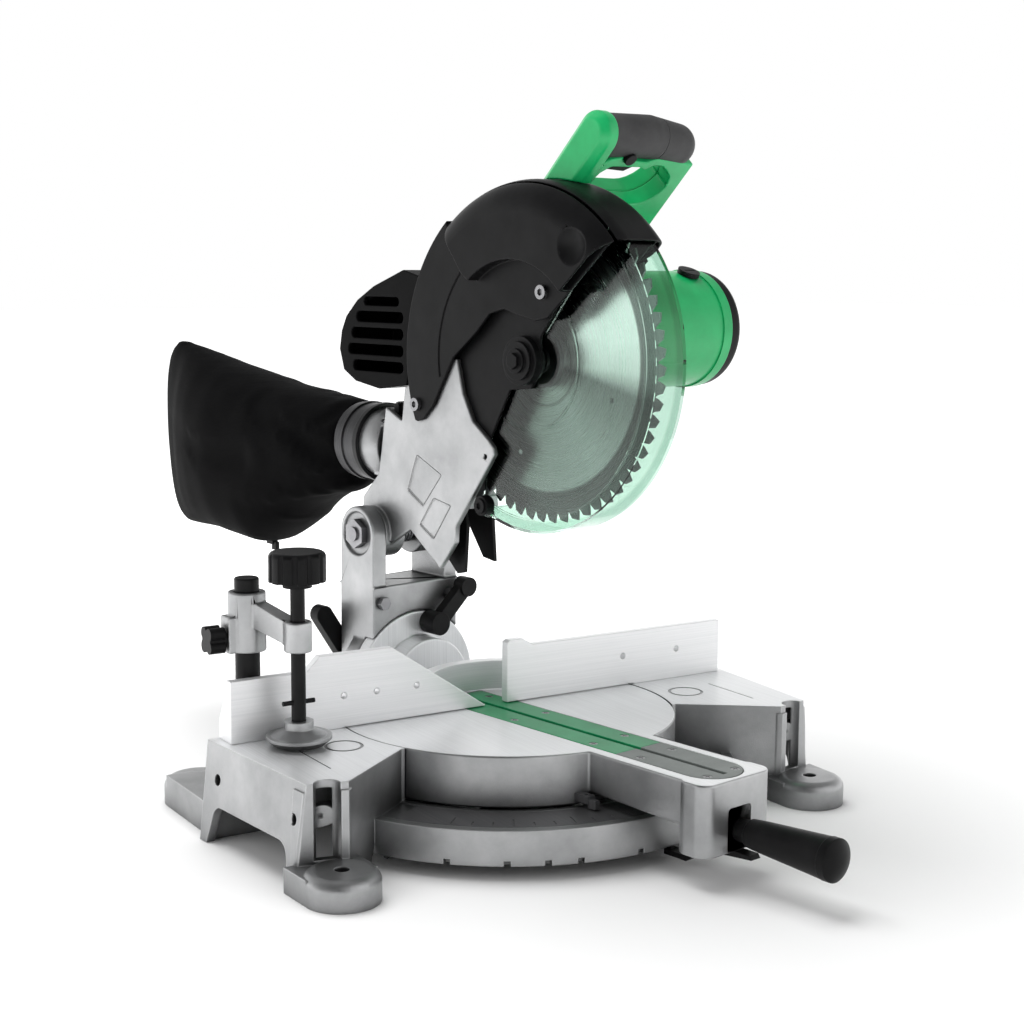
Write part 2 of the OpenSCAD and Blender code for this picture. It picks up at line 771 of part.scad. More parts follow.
module arbor_cover() {
  color([0.04, 0.04, 0.045]) mitred() {
    disc_x(19, arm_l1 - 7, arm_l1 - 1 - eps);
    disc_x(15, arm_l1 - 10, arm_l1 - 6);
    disc_x(9.5, arm_l1 - 12, arm_l1 - 9);
    xhex(11, arm_l1 - 15, arm_l1 - 11, blade_y, blade_z);
    disc_x(3.9, arm_l1 - 2, arm_l1 + 1.5);
  }
}
// Upper guard: hood, back band and side plates
module hood2() {
  head2() polygon([
    [-152, 460],
    [-138, 452],
    [-100, 419],
    [-76.5, 399],
    [-63, 396.5],
    [-41.7, 401],
    [-26.7, 404.7],
    [-10.3, 400.5],
    [5.2, 386],
    [33.3, 365],
    [58.6, 325],
    [72, 312.5],
    [79.4, 310.5],
    [87, 312.5],
    [92.6, 318],
    [100.6, 337],
    [150, 337],
    [150, 540],
    [-220, 540]
  ]);
}
module cap_profile(d) {
  // radius from the blade axis, place along it
  top = hood_out - d;
  low = 77 + d;
  l = -40 + d;
  r = 28 - d;
  cl = 26 - d;
  cr = 14 - d;
  polygon([[low, l], [top - cl, l], [top - cl, r], [low, r]]);
  polygon([[low, l + cl], [top, l + cl], [top, r - cr], [low, r - cr]]);
  translate([top - cl, l + cl]) circle(cl);
  translate([top - cr, r - cr]) circle(cr);
}
module cap_zone2() {
  head2() polygon([
    [-152, 460],
    [-138, 452],
    [-100, 419],
    [-60, 380],
    [12, 432],
    [42, 470],
    [40, 540],
    [-220, 540]
  ]);
}
module cap_end2() {
  head2() polygon([[12, 432], [42, 470], [40, 540], [37, 540], [38.6, 471], [9.6, 434]]);
}
module cap_room() {
  translate([60, plate_l1]) square([hood_in - 60, 15.4 - plate_l1]);
  translate([60, 15.4]) square([26, 20]);
}
// what lies outside the cap where the cap is
module off_cap() {
  intersection() {
    yz(-60, 60) cap_zone2();
    difference() {
      disc_x(hood_out + 40, -50, 50);
      rev() {
        cap_profile(1.2);
        translate([0, -38]) square([80, 64]);
      }
    }
  }
}
module hood_scoop(d) { translate([-53.6, blade_y - 69, blade_z + 87]) sphere(20 + d); }
module upper_guard() {
  color([0.04, 0.04, 0.045]) mitred() difference() {
    union() {
      // rounded cap over the top, with its back wall
      intersection() {
        difference() {
          rev() difference() {
            cap_profile(0);
            cap_room();
          }
          hood_scoop(0);
          difference() {
            rev() cap_profile(2.4);
            hood_scoop(2.4);
          }
        }
        yz(-60, 60) cap_zone2();
      }
      intersection() {
        rev() difference() {
          cap_profile(0);
          cap_room();
        }
        yz(-60, 60) cap_end2();
      }
      // band down to the vent and the side plates
      difference() {
        intersection() {
          union() {
            rev() translate([hood_in, plate_l0]) square([hood_out - hood_in, 18 - plate_l0]);
            disc_x(hood_out, plate_l0, plate_l1);
            difference() {
              disc_x(hood_out, 15.5, 18);
              disc_x(84, 15, 19);
            }
          }
          yz(-60, 60) hood2();
        }
        off_cap();
      }
    }
    xcyl(2 + run, plate_l0 - 1, plate_l1 + 1, blade_y - 27.5, blade_z + 52.8);
    xcyl(2 + run, plate_l0 - 1, plate_l1 + 1, blade_y + 123.7, blade_z - 41.1);
    // slot in the band where the arm and the inner plate pass
    yz(plate_l1, arm_l1 + 3) head2() polygon([[60, 300], [110, 300], [110, 352], [60, 352]]);
    // scribed line on the plate
    intersection() {
      difference() {
        disc_x(96, plate_l0 - 1, plate_l0 + 0.6);
        disc_x(95, plate_l0 - 2, plate_l0 + 2);
      }
      yz(-60, 0) head2() polygon([[-60, 440], [60, 340], [120, 330], [100, 480], [-60, 480]]);
    }
  }
}
module guard_screws() {
  color([0.3, 0.3, 0.31]) mitred() for (p = [[-27.5, 52.8], [123.7, -41.1]]) difference() {
    union() {
      xcyl(5.4, plate_l0 - 3.4, plate_l0 - eps, blade_y + p[0], blade_z + p[1]);
      xcyl(2, plate_l0 - 1, plate_l1 + 0.2, blade_y + p[0], blade_z + p[1]);
    }
    xhex(5, plate_l0 - 4, plate_l0 - 1.6, blade_y + p[0], blade_z + p[1]);
  }
}
module vent2() {
  difference() {
    head2() polygon([
      [78, 426],
      [112, 434],
      [153, 420],
      [176, 408],
      [192, 394],
      [199, 381],
      [202, 365],
      [196, 347],
      [179, 338],
      [146, 333],
      [108, 338]
    ]);
    translate([blade_y, blade_z]) circle(hood_out + eps);
  }
}
module vent_housing() {
  color([0.05, 0.05, 0.055]) mitred() difference() {
    union() {
      yz(-18, 40) vent2();
      for (z = [348, 364, 380, 396]) yz(-14, 36) head2() bar2([186, z], [204 - abs(z - 368) * 0.45, z], 2.6);
    }
    yz(-14, 36) difference() {
      head2() polygon([[80, 420], [112, 429], [152, 415], [173, 404], [188, 391], [194, 380], [197, 365],
        [191, 350], [177, 343], [146, 338], [110, 343]]);
      translate([blade_y, blade_z]) circle(hood_out + 4);
    }
    for (z = [352, 366, 380, 394])
      yz(-19, -13) head2() rrect(112, z - 4.6, 190 - abs(z - 368) * 0.5, z + 4.6, 4.5);
    yz(-19, -13) head2() rrect(118, 403.5, 166, 411, 3.7);
  }
}

// Gear case and motor
case_x0 = web_r1 + gap;
case_x1 = 62;
module gear_housing() {
  color([0.08, 0.08, 0.085]) mitred() difference() {
    union() {
      disc_x(40, case_x0, case_x1 - 4);
      xcyl(motor_r + 3, case_x0, case_x1, motor_y, motor_z);
    }
    disc_x(29, case_x0 + 4.6, case_x1 - 8);
    xcyl(13, case_x0 + 4.6, case_x1 - 8, motor_y, motor_z);
    disc_x(16 + run, case_x0 - 1, case_x0 + 10);
    disc_x(16 + run, case_x1 - 9, case_x1 - 6);
    xcyl(11 + run, case_x0 - 1, case_x0 + 3, motor_y, motor_z);
    xcyl(6, case_x0 + 2, case_x0 + 5, motor_y, motor_z);
    xcyl(13 + run, case_x1 - 10, case_x1 + 1, motor_y, motor_z);
    xcyl(motor_r - 5, case_x1 - 3, case_x1 + 1, motor_y, motor_z);
  }
}
module bearing(ri, ro, x0, x1, y, z) {
  difference() {
    xcyl(ro, x0, x1, y, z);
    xcyl(ri, x0 - 1, x1 + 1, y, z);
  }
}
module spindle_bearings() {
  color([0.6, 0.6, 0.61]) mitred() {
    bearing(8 + run, 16, case_x0, case_x0 + 4.4, blade_y, blade_z);
    bearing(8 + run, 16, case_x1 - 7.9, case_x1 - 6.1, blade_y, blade_z);
    bearing(5 + run, 11, case_x0, case_x0 + 2.9, motor_y, motor_z);
    bearing(6 + run, 13, case_x1 - 7.9, case_x1 - 3.1, motor_y, motor_z);
    bearing(6 + run, 13, motor_end + gap + 1, motor_end + gap + 8, motor_y, motor_z);
  }
}
module motor_housing() {
  color([0.03, 0.47, 0.22]) mitred() difference() {
    union() {
      xcyl(motor_r, case_x1 + eps, motor_end, motor_y, motor_z);
      xcyl(motor_r + 2, case_x1 + eps, case_x1 + 12, motor_y, motor_z);
      xcyl(motor_r + 1.2, motor_end - 10, motor_end, motor_y, motor_z);
    }
    xcyl(motor_r - 4, case_x1 - 1, motor_end + 1, motor_y, motor_z);
    for (a = [0 : 30 : 330]) translate([0, motor_y, motor_z]) rotate([a, 0, 0])
      box(case_x1 + 16, case_x1 + 32, motor_r - 6, motor_r + 6, -2, 2);
    brush_bores();
  }
}
module brush_axis(a) {
  translate([motor_end - 22, motor_y, motor_z]) rotate([a, 0, 0]) rotate([-90, 0, 0]) children();
}
module brush_bores() {
  for (a = [112, 292]) brush_axis(a) translate([0, 0, 30]) cylinder(r = 7 + run, h = 40);
}
module brush_caps() {
  color([0.03, 0.03, 0.032]) mitred() for (a = [112, 292]) brush_axis(a) difference() {
    union() {
      translate([0, 0, motor_r - 8]) cylinder(r = 7, h = 9);
      translate([0, 0, motor_r + 0.3]) cylinder(r = 9.5, h = 4);
    }
    translate([-6, -0.8, motor_r + 2.8]) cube([12, 1.6, 3]);
  }
}
module motor_end_cap() {
  color([0.04, 0.04, 0.045]) mitred() difference() {
    translate([motor_end + eps, motor_y, motor_z]) rotate([0, 90, 0]) rotate_extrude() {
      square([motor_r - 7, 15]);
      square([motor_r, 8]);
      translate([motor_r - 7, 8]) circle(7);
    }
    xcyl(motor_r - 8, motor_end - 1, motor_end + gap + 0.8, motor_y, motor_z);
    xcyl(13 + run, motor_end - 1, motor_end + gap + 8, motor_y, motor_z);
    for (k = [-3 : 3])
      box(motor_end + 11, motor_end + 20, motor_y - 30 + abs(k) * 4, motor_y + 30 - abs(k) * 4,
      motor_z + k * 9 - 1.6, motor_z + k * 9 + 1.6);
  }
}
module stator() {
  color([0.25, 0.22, 0.2]) mitred() difference() {
    xcyl(motor_r - 4 - eps, case_x1 + 36, motor_end - 44, motor_y, motor_z);
    xcyl(31, case_x1 + 30, motor_end, motor_y, motor_z);
  }
}
// Involute outline, small gap between the teeth
function inv(a) = tan(a) * 180 / PI - a;
module gear2d(n, m) {
  rp = n * m / 2;
  rb = rp * cos(20);
  ra = rp + 0.85 * m;
  rf = rp - 1.1 * m;
  r1 = max(rb, rf) + 0.02;
  half = 90 / n + inv(20) - 0.07 * 180 / PI / rp;
  rs = [rf, r1, (r1 + rp) / 2, rp, (rp + ra) / 2, ra];
  function spread(r) = half - (r > rb ? inv(acos(rb / r)) : 0);
  polygon([for (t = [0 : n - 1], k = [0 : 11])
    let (r = k < 6 ? rs[k] : rs[11 - k], a = 360 * t / n + (k < 6 ? -1 : 1) * spread(r))
    [r * cos(a), r * sin(a)]]);
}
gear_x0 = case_x0 + 6;
gear_x1 = case_x1 - 10;
module spindle_gear() {
  color([0.5, 0.5, 0.52]) mitred() yz(gear_x0, gear_x1) translate([blade_y, blade_z]) difference() {
    rotate(gear_dir) gear2d(gear_n, gear_m);
    circle(8 + run);
  }
}
module armature() {
  color([0.45, 0.3, 0.2]) mitred() {
    yz(gear_x0, gear_x1) translate([motor_y, motor_z])
      rotate(gear_dir + 180 + 180 / pinion_n) gear2d(pinion_n, gear_m);
    xcyl(5, case_x0 + 0.4, gear_x0 + 1, motor_y, motor_z);
    xcyl(6, gear_x1 - 1, motor_end + 6, motor_y, motor_z);
    xcyl(30, case_x1 + 38, motor_end - 46, motor_y, motor_z);
    xcyl(17, motor_end - 36, motor_end - 10, motor_y, motor_z);
  }
}
module motor_fan() {
  color([0.1, 0.1, 0.1]) mitred() difference() {
    union() {
      xcyl(motor_r - 8, case_x1 + 12, case_x1 + 15, motor_y, motor_z);
      xcyl(11, case_x1 + 12, case_x1 + 28, motor_y, motor_z);
      for (a = [0 : 40 : 320]) translate([0, motor_y, motor_z]) rotate([a, 0, 0])
        box(case_x1 + 14, case_x1 + 27, 10, motor_r - 9, -1.2, 1.2);
    }
    xcyl(6 + run, case_x1, case_x1 + 40, motor_y, motor_z);
  }
}

// Blade and spindle
module blade() {
  pitch = 360 / blade_teeth;
  function at(r, a) = [r * cos(a), r * sin(a)];
  color([0.8, 0.8, 0.82]) mitred()
  yz(-blade_plate / 2, blade_plate / 2) translate([blade_y, blade_z]) difference() {
    polygon([for (t = [0 : blade_teeth - 1], k = [0 : 4])
      let (a = t * pitch)
      k == 0 ? at(blade_r - 6, a - 1) : k == 1 ? at(blade_r, a)
        : k == 2 ? at(blade_r - 2.2, a + 0.66 * pitch - 1.2) : k == 3 ? at(blade_r - 7.5, a + 0.66 * pitch)
        : at(blade_r - 9, a + 0.8 * pitch)]);
    circle(8 + run);
    for (a = [20 : 90 : 290]) rotate(a) translate([blade_r * 0.62, 0]) circle(2.2);
  }
}
module spindle() {
  color([0.55, 0.55, 0.57]) mitred() difference() {
    disc_x(8, -5, case_x1 - 6.2);
    disc_x(4 + run, -6, 16);
  }
}
module inner_flange() {
  color([0.5, 0.5, 0.52]) mitred() difference() {
    union() {
      disc_x(22, blade_plate / 2 + eps, 7);
      disc_x(12, 6, case_x0 - gap);
    }
    disc_x(8 + run, 0, 40);
  }
}
module outer_flange() {
  color([0.5, 0.5, 0.52]) mitred() difference() {
    disc_x(22, -5, -blade_plate / 2 - eps);
    disc_x(8 + run, -10, 1);
  }
}
module arbor_bolt() {
  color([0.4, 0.4, 0.42]) mitred() {
    disc_x(4, -6, 15);
    disc_x(10.5, -7.5, -5 - eps);
    xhex(14, -13.5, -7, blade_y, blade_z);
  }
}

// Lower guard
module lower_cut(x0, x1) {
  yz(x0, x1) translate([blade_y, blade_z])
    polygon([[0, 0], [-141, 168], [200, 200], [200, -150], [58, -150], [55, -122], [50, -90], [40, -50],
      [33, -13]]);
}
module lower_guard() {
  color([0.55, 0.85, 0.68, 0.45]) mitred() difference() {
    union() {
      difference() {
        rev() {
          translate([16 + 0.15, -17]) square([guard_out - 16.15, 1.5]);
          translate([guard_in, -17]) square([guard_out - guard_in, 31]);
          translate([40, 12.5]) square([guard_out - 40, 1.5]);
          translate([54, -18]) square([1.6, 1.4]);
          translate([guard_in - 9, -17.8]) square([1.6, 1.4]);
        }
        lower_cut(-60, 60);
      }
      difference() {
        disc_x(27, -17, -15.5);
        disc_x(16.15, -18, 0);
      }
      xcyl(10, -17, -15.5, blade_y + 47.9, blade_z - 117.8);
    }
    xcyl(2.5 + run, -20, 0, blade_y + 47.9, blade_z - 117.8);
    // flat seat for the bumper
    xcyl(8 + gap, -20, -17, blade_y + 47.9, blade_z - 117.8);
  }
}
module guard_bumper() {
  color([0.04, 0.04, 0.045]) mitred() difference() {
    union() {
      xcyl(8, -25, -17 - eps, blade_y + 47.9, blade_z - 117.8);
      xcyl(6, -27, -24, blade_y + 47.9, blade_z - 117.8);
      xcyl(2.5, -18, -14, blade_y + 47.9, blade_z - 117.8);
    }
    xhex(5, -28, -25.5, blade_y + 47.9, blade_z - 117.8);
  }
}

// Handle: a loop in a plane that leans to the front; s runs up the loop, n through it
module loop_frame() { translate([0, loop_y, loop_z]) rotate([loop_lean, 0, 0]) children(); }
module loop(n0, n1) {
  loop_frame() translate([0, n1, 0]) rotate([90, 0, 0]) linear_extrude(n1 - n0) children();
}
strap_t = 14;
strap_s = 51;
grip_r = 16.5;
grip_mid = [60, 51.5];
grip_end = [handle_w - grip_r, 46];
leg_t = 13;
leg_half = loop_half - 2;
// strap with chamfered edges and a round top
module strap() {
  half = [[0, 0], [loop_half - 6, 0], [loop_half, 5], [loop_half, strap_t], [0, strap_t]];
  loop_frame() {
    translate([0, 0, strap_s]) rotate([0, 90, 0]) rotate_extrude() polygon(half);
    for (m = [0, 1]) mirror([0, m, 0]) translate([0, 0, -60]) linear_extrude(strap_s + 60)
      polygon([for (p = half) [p[1], p[0]]]);
  }
}
module rod_between(p, q, r) {
  loop_frame() translate([p[0], 0, p[1]])
    rotate([0, 90 - atan2(q[1] - p[1], q[0] - p[0]), 0]) cylinder(r = r, h = norm(q - p));
}
module grip_form(r) {
  rod_between([strap_t, strap_s - 1], grip_mid, r);
  rod_between(grip_mid, grip_end, r);
  loop_frame() translate([grip_mid[0], 0, grip_mid[1]]) sphere(r);
  loop_frame() translate([grip_end[0], 0, grip_end[1]]) sphere(r);
}
// green underside with finger bumps, right leg and the saddle that joins the motor
leg_in = handle_w - leg_t;
// finger rail below the rubber
module rail2() {
  polygon([
    [strap_t, 44],
    [strap_t, 16],
    [19, 25],
    [26, 32],
    [56, 33],
    [63, 30.5],
    [70, 36],
    [80, 35.5],
    [leg_in - 11, 31],
    [leg_in - 4, 26],
    [leg_in - 0.5, 17],
    [leg_in + 6, 17],
    [leg_in + 6, 44]
  ]);
}
// leg and saddle, with a round inner corner
module leg2() {
  polygon(concat(
    [[strap_t - 4, -60], [strap_t - 4, -4]],
    [for (a = [-90 : 15 : 0]) [leg_in - 24 + 24 * cos(a), 20 + 24 * sin(a)]],
    [[leg_in, 46], [handle_w, 46], [handle_w, -34], [handle_w - 16, -56], [handle_w - 30, -100]],
    [[34, -100], [34, -60]]
  ));
}
trigger_at = [34.5, 37.5];
module trigger_axle(r, n0, n1) { loop(n0, n1) translate(trigger_at) circle(r); }
module pull2() { translate([30, 25]) square([34, 21]); }
module lock_bore(r) { loop(-30, -5) translate([38, 42]) circle(r); }
module handle_room() {
  difference() {
    children();
    grip_cut();
    trigger_slot();
    trigger_axle(2.5 + run, -8.4, 10.2);
    lock_bore(5 + run);
    disc_x(hood_out + gap, -60, case_x0);
    disc_x(40 + eps, case_x0 - 1, case_x1 + 1);
    xcyl(motor_r + 3 + eps, case_x0 - 1, case_x1 + 12 + eps, motor_y, motor_z);
    xcyl(motor_r + eps, case_x1, motor_end, motor_y, motor_z);
  }
}
// everything above the lower edge of the rubber
module grip_edge2() {
  polygon([
    [strap_t - eps, 90],
    [strap_t - eps, 34],
    [22, 39],
    [34, 42.5],
    [44, 39],
    [60, 38.5],
    [70, 43],
    [90, 41.5],
    [handle_w - 4, 40],
    [handle_w + 20, 40],
    [handle_w + 20, 90]
  ]);
}
module grip_cut() { loop(-loop_half - 2, loop_half + 2) grip_edge2(); }
module trigger_slot() { loop(-7.5, 7.5) pull2(); }
module handle_front() {
  color([0.03, 0.50, 0.23]) mitred() handle_room() union() {
    strap();
    loop(-leg_half, -eps / 2) rail2();
    loop(-leg_half, -eps / 2) leg2();
  }
}
module handle_back() {
  color([0.03, 0.50, 0.23]) mitred() difference() {
    handle_room() union() {
      loop(eps / 2, leg_half) rail2();
      loop(eps / 2, leg_half) leg2();
    }
    loop_frame() box(-1, strap_t + eps, -loop_half - 1, loop_half + 1, -70, 80);
  }
}
module handle_grip() {
  color([0.04, 0.04, 0.045]) mitred() difference() {
    intersection() {
      grip_form(grip_r);
      loop(-loop_half - 2, loop_half + 2) translate([eps, eps]) grip_edge2();
    }
    intersection() {
      grip_form(grip_r - 4);
      loop(-loop_half, loop_half)
        polygon([[strap_t + 4, 0], [strap_t + 4, 60], [handle_w - 20, 60], [handle_w - 20, 0]]);
    }
    lock_bore(5 + run);
    trigger_slot();
    // seam ring in the rubber
    loop_frame() translate([grip_mid[0] + 8, 0, grip_mid[1] - 1]) rotate([0, 98, 0]) difference() {
      cylinder(r = grip_r + 2, h = 0.8);
      translate([0, 0, -1]) cylinder(r = grip_r - 0.6, h = 3);
    }
  }
}
module trigger() {
  color([0.12, 0.12, 0.13]) mitred() {
    loop(-7, 7) {
      polygon([[31, 37.5], [31, 25], [33, 22.5], [52, 21.5], [61, 28], [63, 34], [63, 37], [52, 37.5]]);
      translate(trigger_at) circle(3.5);
    }
    trigger_axle(2.5, -8.2, 10);
  }
}
module lock_button() {
  color([0.15, 0.15, 0.16]) mitred() loop(-grip_r - 1.5, -11.5) translate([38, 42]) circle(5);
}

// Dust outlet and bag
module dust_chute() {
  color([0.74, 0.75, 0.76]) mitred() difference() {
    union() {
      box(-20.4, 17.8, 60, 150, chute_z - 26, chute_z + 22);
      ycyl(chute_r, 148, 172, 0, chute_z);
      intersection() {
        translate([0, 148, chute_z]) sphere(chute_r);
        box(-40, 40, 100, 148.5, chute_z - 40, chute_z + 40);
      }
    }
    box(-18, 15.4, 50, 147, chute_z - 23.6, chute_z + 19.6);
    ycyl(chute_r - 2.4, 148, 173, 0, chute_z);
    box(-17.4, 15, 140, 150, chute_z - 20, chute_z + 19.6);
    box(-40, arm_l1 + eps, 100, 135.4, chute_z - 40, chute_z + 40);
    disc_x(wall_r + 7 + eps, -40, 40);
    xcyl(22 + gap, -40, 40, pivot_y, pivot_z);
  }
}
module chute_knob() {
  color([0.04, 0.04, 0.045]) mitred() difference() {
    union() {
      zcyl(8, chute_z + 28, chute_z + 38, -8, 120);
      zcyl(3, chute_z + 22 + eps, chute_z + 30, -8, 120);
      for (a = [0, 90]) translate([-8, 120, chute_z + 28]) rotate([0, 0, a]) box(-11, 11, -3, 3, 0, 9);
    }
    zcyl(2, chute_z + 36, chute_z + 40, -8, 120);
  }
}
module dust_flaps() {
  color([0.05, 0.05, 0.055]) mitred() difference() {
    union() {
      yz(-14, -11) head2()
        polygon([[33, 228], [40, 250], [74, 290], [78, 262], [60, 222], [56, 196], [45, 186], [36, 188]]);
      yz(6, 9) head2() polygon([[22, 197], [26, 245], [62, 282], [80, 280], [66, 240], [36, 199]]);
    }
    disc_x(wall_r + 7 + eps, -60, 60);
    box(-30, 30, 60 - gap, 150, chute_z - 26 - gap, chute_z + 30);
  }
}
module bag_collar() {
  color([0.04, 0.04, 0.045]) mitred() difference() {
    union() {
      ycyl(chute_r + 2.4, 157, 190, 0, chute_z);
      ycyl(chute_r + 3.6, 157, 162, 0, chute_z);
      ycyl(chute_r + 3.6, 178, 182, 0, chute_z);
    }
    ycyl(chute_r + eps, 150, 172 + eps, 0, chute_z);
    ycyl(chute_r - 1, 170, 192, 0, chute_z);
  }
}
// side heights and half widths of the bag along its length, from the outlet
bag_y0 = 190.1;
bag_len = 333;
bag_top_near = [[0, 33], [0.11, 38.5], [0.32, 45], [0.62, 60], [0.87, 77]];
bag_top = concat(bag_top_near, [[0.92, 80.5], [0.98, 69], [0.99, 54], [1, 40]]);
bag_low_near = [[0, -33], [0.04, -46], [0.2, -70], [0.37, -101.5], [0.42, -107], [0.65, -104.5]];
bag_low = concat(bag_low_near, [[0.89, -107.5], [0.94, -99], [0.97, -80], [0.985, -56], [1, -26]]);
bag_wide_near = [[0, 33], [0.045, 40], [0.15, 50], [0.36, 55], [0.57, 56], [0.7, 48]];
bag_wide = concat(bag_wide_near, [[0.79, 38], [0.87, 24], [0.96, 12], [1, 7]]);
bag_rows = 22;
bag_cols = 28;
function bag_u(i) = (1 - cos(180 * i / bag_rows)) / 2;
function bag_pt(i, k, d) =
  let (u = bag_u(i), t = lookup(u, bag_top), b = lookup(u, bag_low), w = lookup(u, bag_wide),
    a = 360 * k / bag_cols, c = cos(a), s = sin(a), q = max(0, min(1, u * 4)), e = 1 - 0.35 * q,
    x = sign(c) * pow(abs(c), e) * (w - d), z = sign(s) * pow(abs(s), e) * ((t - b) / 2 - d))
  [x, bag_y0 + bag_len * u * (d > 0 ? 0.99 : 1), chute_z + (t + b) / 2 + z];
module bag_body(d, first) {
  pts = [for (i = [0 : bag_rows], k = [0 : bag_cols - 1])
    let (p = bag_pt(i, k, d)) [p[0], i == 0 ? p[1] - first : p[1], p[2]]];
  sides = [for (i = [0 : bag_rows - 1], k = [0 : bag_cols - 1], h = [0, 1])
    h == 0 ? [i * bag_cols + k, i * bag_cols + (k + 1) % bag_cols, (i + 1) * bag_cols + (k + 1) % bag_cols]
      : [i * bag_cols + k, (i + 1) * bag_cols + (k + 1) % bag_cols, (i + 1) * bag_cols + k]];
  near = [for (k = [0 : bag_cols - 1]) bag_cols - 1 - k];
  far = [for (k = [0 : bag_cols - 1]) bag_rows * bag_cols + k];
  polyhedron(points = pts, faces = concat(sides, [near, far]));
}
module dust_bag() {
  color([0.05, 0.05, 0.055]) mitred() difference() {
    bag_body(0, 0);
    bag_body(1.6, 1);
  }
}
module zip_puller() {
  color([0.3, 0.3, 0.31]) mitred() {
    box(-3, 3, bag_y0 + 143, bag_y0 + 153, chute_z - 112, chute_z - 107.02);
    box(-2, 2, bag_y0 + 139, bag_y0 + 146, chute_z - 117, chute_z - 109.5);
  }
}

// Work clamp
clamp_dir = atan2(screw_y - post_y, screw_x - post_x);
clamp_reach = norm([screw_x - post_x, screw_y - post_y]);
module clamp_arm() {
  color([0.06, 0.06, 0.065]) difference() {
    union() {
      zcyl(post_r + 5, arm_z, arm_z + 26, post_x, post_y);
      zcyl(screw_r + 5, arm_z - 14, arm_z + 9, screw_x, screw_y);
      translate([post_x, post_y, 0]) rotate([0, 0, clamp_dir]) xz(-7, 7) polygon([
        [0, arm_z + 3],
        [0, arm_z + 23],
        [clamp_reach, arm_z + 7],
        [clamp_reach, arm_z - 11]
      ]);
      box(post_x - post_r - 9, post_x, post_y - 8, post_y + 8, arm_z - 20, arm_z + 8);
      zcyl(post_r + 5, arm_z - 20, arm_z + 2, post_x, post_y);
    }
    zcyl(post_r + run, arm_z - 40, arm_z + 40, post_x, post_y);
    zcyl(screw_r + run, arm_z - 40, arm_z + 40, screw_x, screw_y);
    xcyl(4 + run, post_x - 40, post_x - 5, post_y, arm_z - 9);
  }
}
module clamp_lock_knob() {
  color([0.04, 0.04, 0.045]) {
    xcyl(4, post_x - post_r - 12, post_x - post_r - 0.1, post_y, arm_z - 9);
    xcyl(8, post_x - post_r - 24, post_x - post_r - 10, post_y, arm_z - 9);
    for (a = [45 : 90 : 315])
      xcyl(5, post_x - post_r - 24, post_x - post_r - 12, post_y + 7 * cos(a), arm_z - 9 + 7 * sin(a));
  }
}
pad_z = table_h + 2;
module clamp_pad() {
  color([0.05, 0.05, 0.055]) translate([screw_x, screw_y, pad_z]) difference() {
    rotate_extrude() polygon([
      [0, 0],
      [20, 0],
      [25, 4.5],
      [25, 7],
      [21, 7],
      [11, 12],
      [11, 18],
      [0, 18]
    ]);
    translate([0, 0, 6]) cylinder(r = screw_r + run, h = 20);
  }
}
module clamp_screw() {
  color([0.1, 0.1, 0.105]) {
    zcyl(screw_r, pad_z + 6.1, arm_z + 50, screw_x, screw_y);
    xcyl(1.8, screw_x - 13, screw_x + 13, screw_y, table_h + 34);
  }
}
module clamp_knob() {
  color([0.04, 0.04, 0.045]) difference() {
    union() {
      zcyl(21.5, arm_z + 39.5, arm_z + 58, screw_x, screw_y);
      translate([screw_x, screw_y, arm_z + 58]) rotate_extrude() {
        square([17.5, 4]);
        translate([17.5, 0]) circle(4);
      }
      zcyl(11, arm_z + 35, arm_z + 40, screw_x, screw_y);
    }
    for (a = [0 : 30 : 330])
      zcyl(2.6, arm_z + 30, arm_z + 63, screw_x + 22.6 * cos(a), screw_y + 22.6 * sin(a));
    zcyl(screw_r + run, arm_z + 30, arm_z + 50.1, screw_x, screw_y);
  }
}

base_casting();
mitre_scale();
pivot_bolt();
fence();
fence_bolts();
clamp_post();
turntable();
kerf_insert();
kerf_insert_front();
kerf_screws();
mitre_pointer();
bevel_bolt();
mitre_lock_rod();
mitre_lock_grip();
detent_lever();
bevel_pin_lever();
bevel_clamp_lever();
tilt_bracket();
pivot_shaft();
pivot_nut();
return_spring();
stop_screws();
head_arm();
gear_housing();
motor_housing();
motor_end_cap();
brush_caps();
stator();
spindle_bearings();
vent_housing();
upper_guard();
guard_screws();
centre_plate();
arbor_cover();
handle_front();
handle_back();
handle_grip();
dust_chute();
chute_knob();
dust_flaps();
bag_collar();
dust_bag();
zip_puller();
blade();
spindle();
inner_flange();
outer_flange();
arbor_bolt();
spindle_gear();
armature();
motor_fan();
lower_guard();
guard_bumper();
trigger();
lock_button();
clamp_arm();
clamp_lock_knob();
clamp_pad();
clamp_screw();
clamp_knob();
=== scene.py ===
"""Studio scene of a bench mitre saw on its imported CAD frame."""
import json
import math

import bpy
import numpy as np
from mathutils import Matrix, Vector


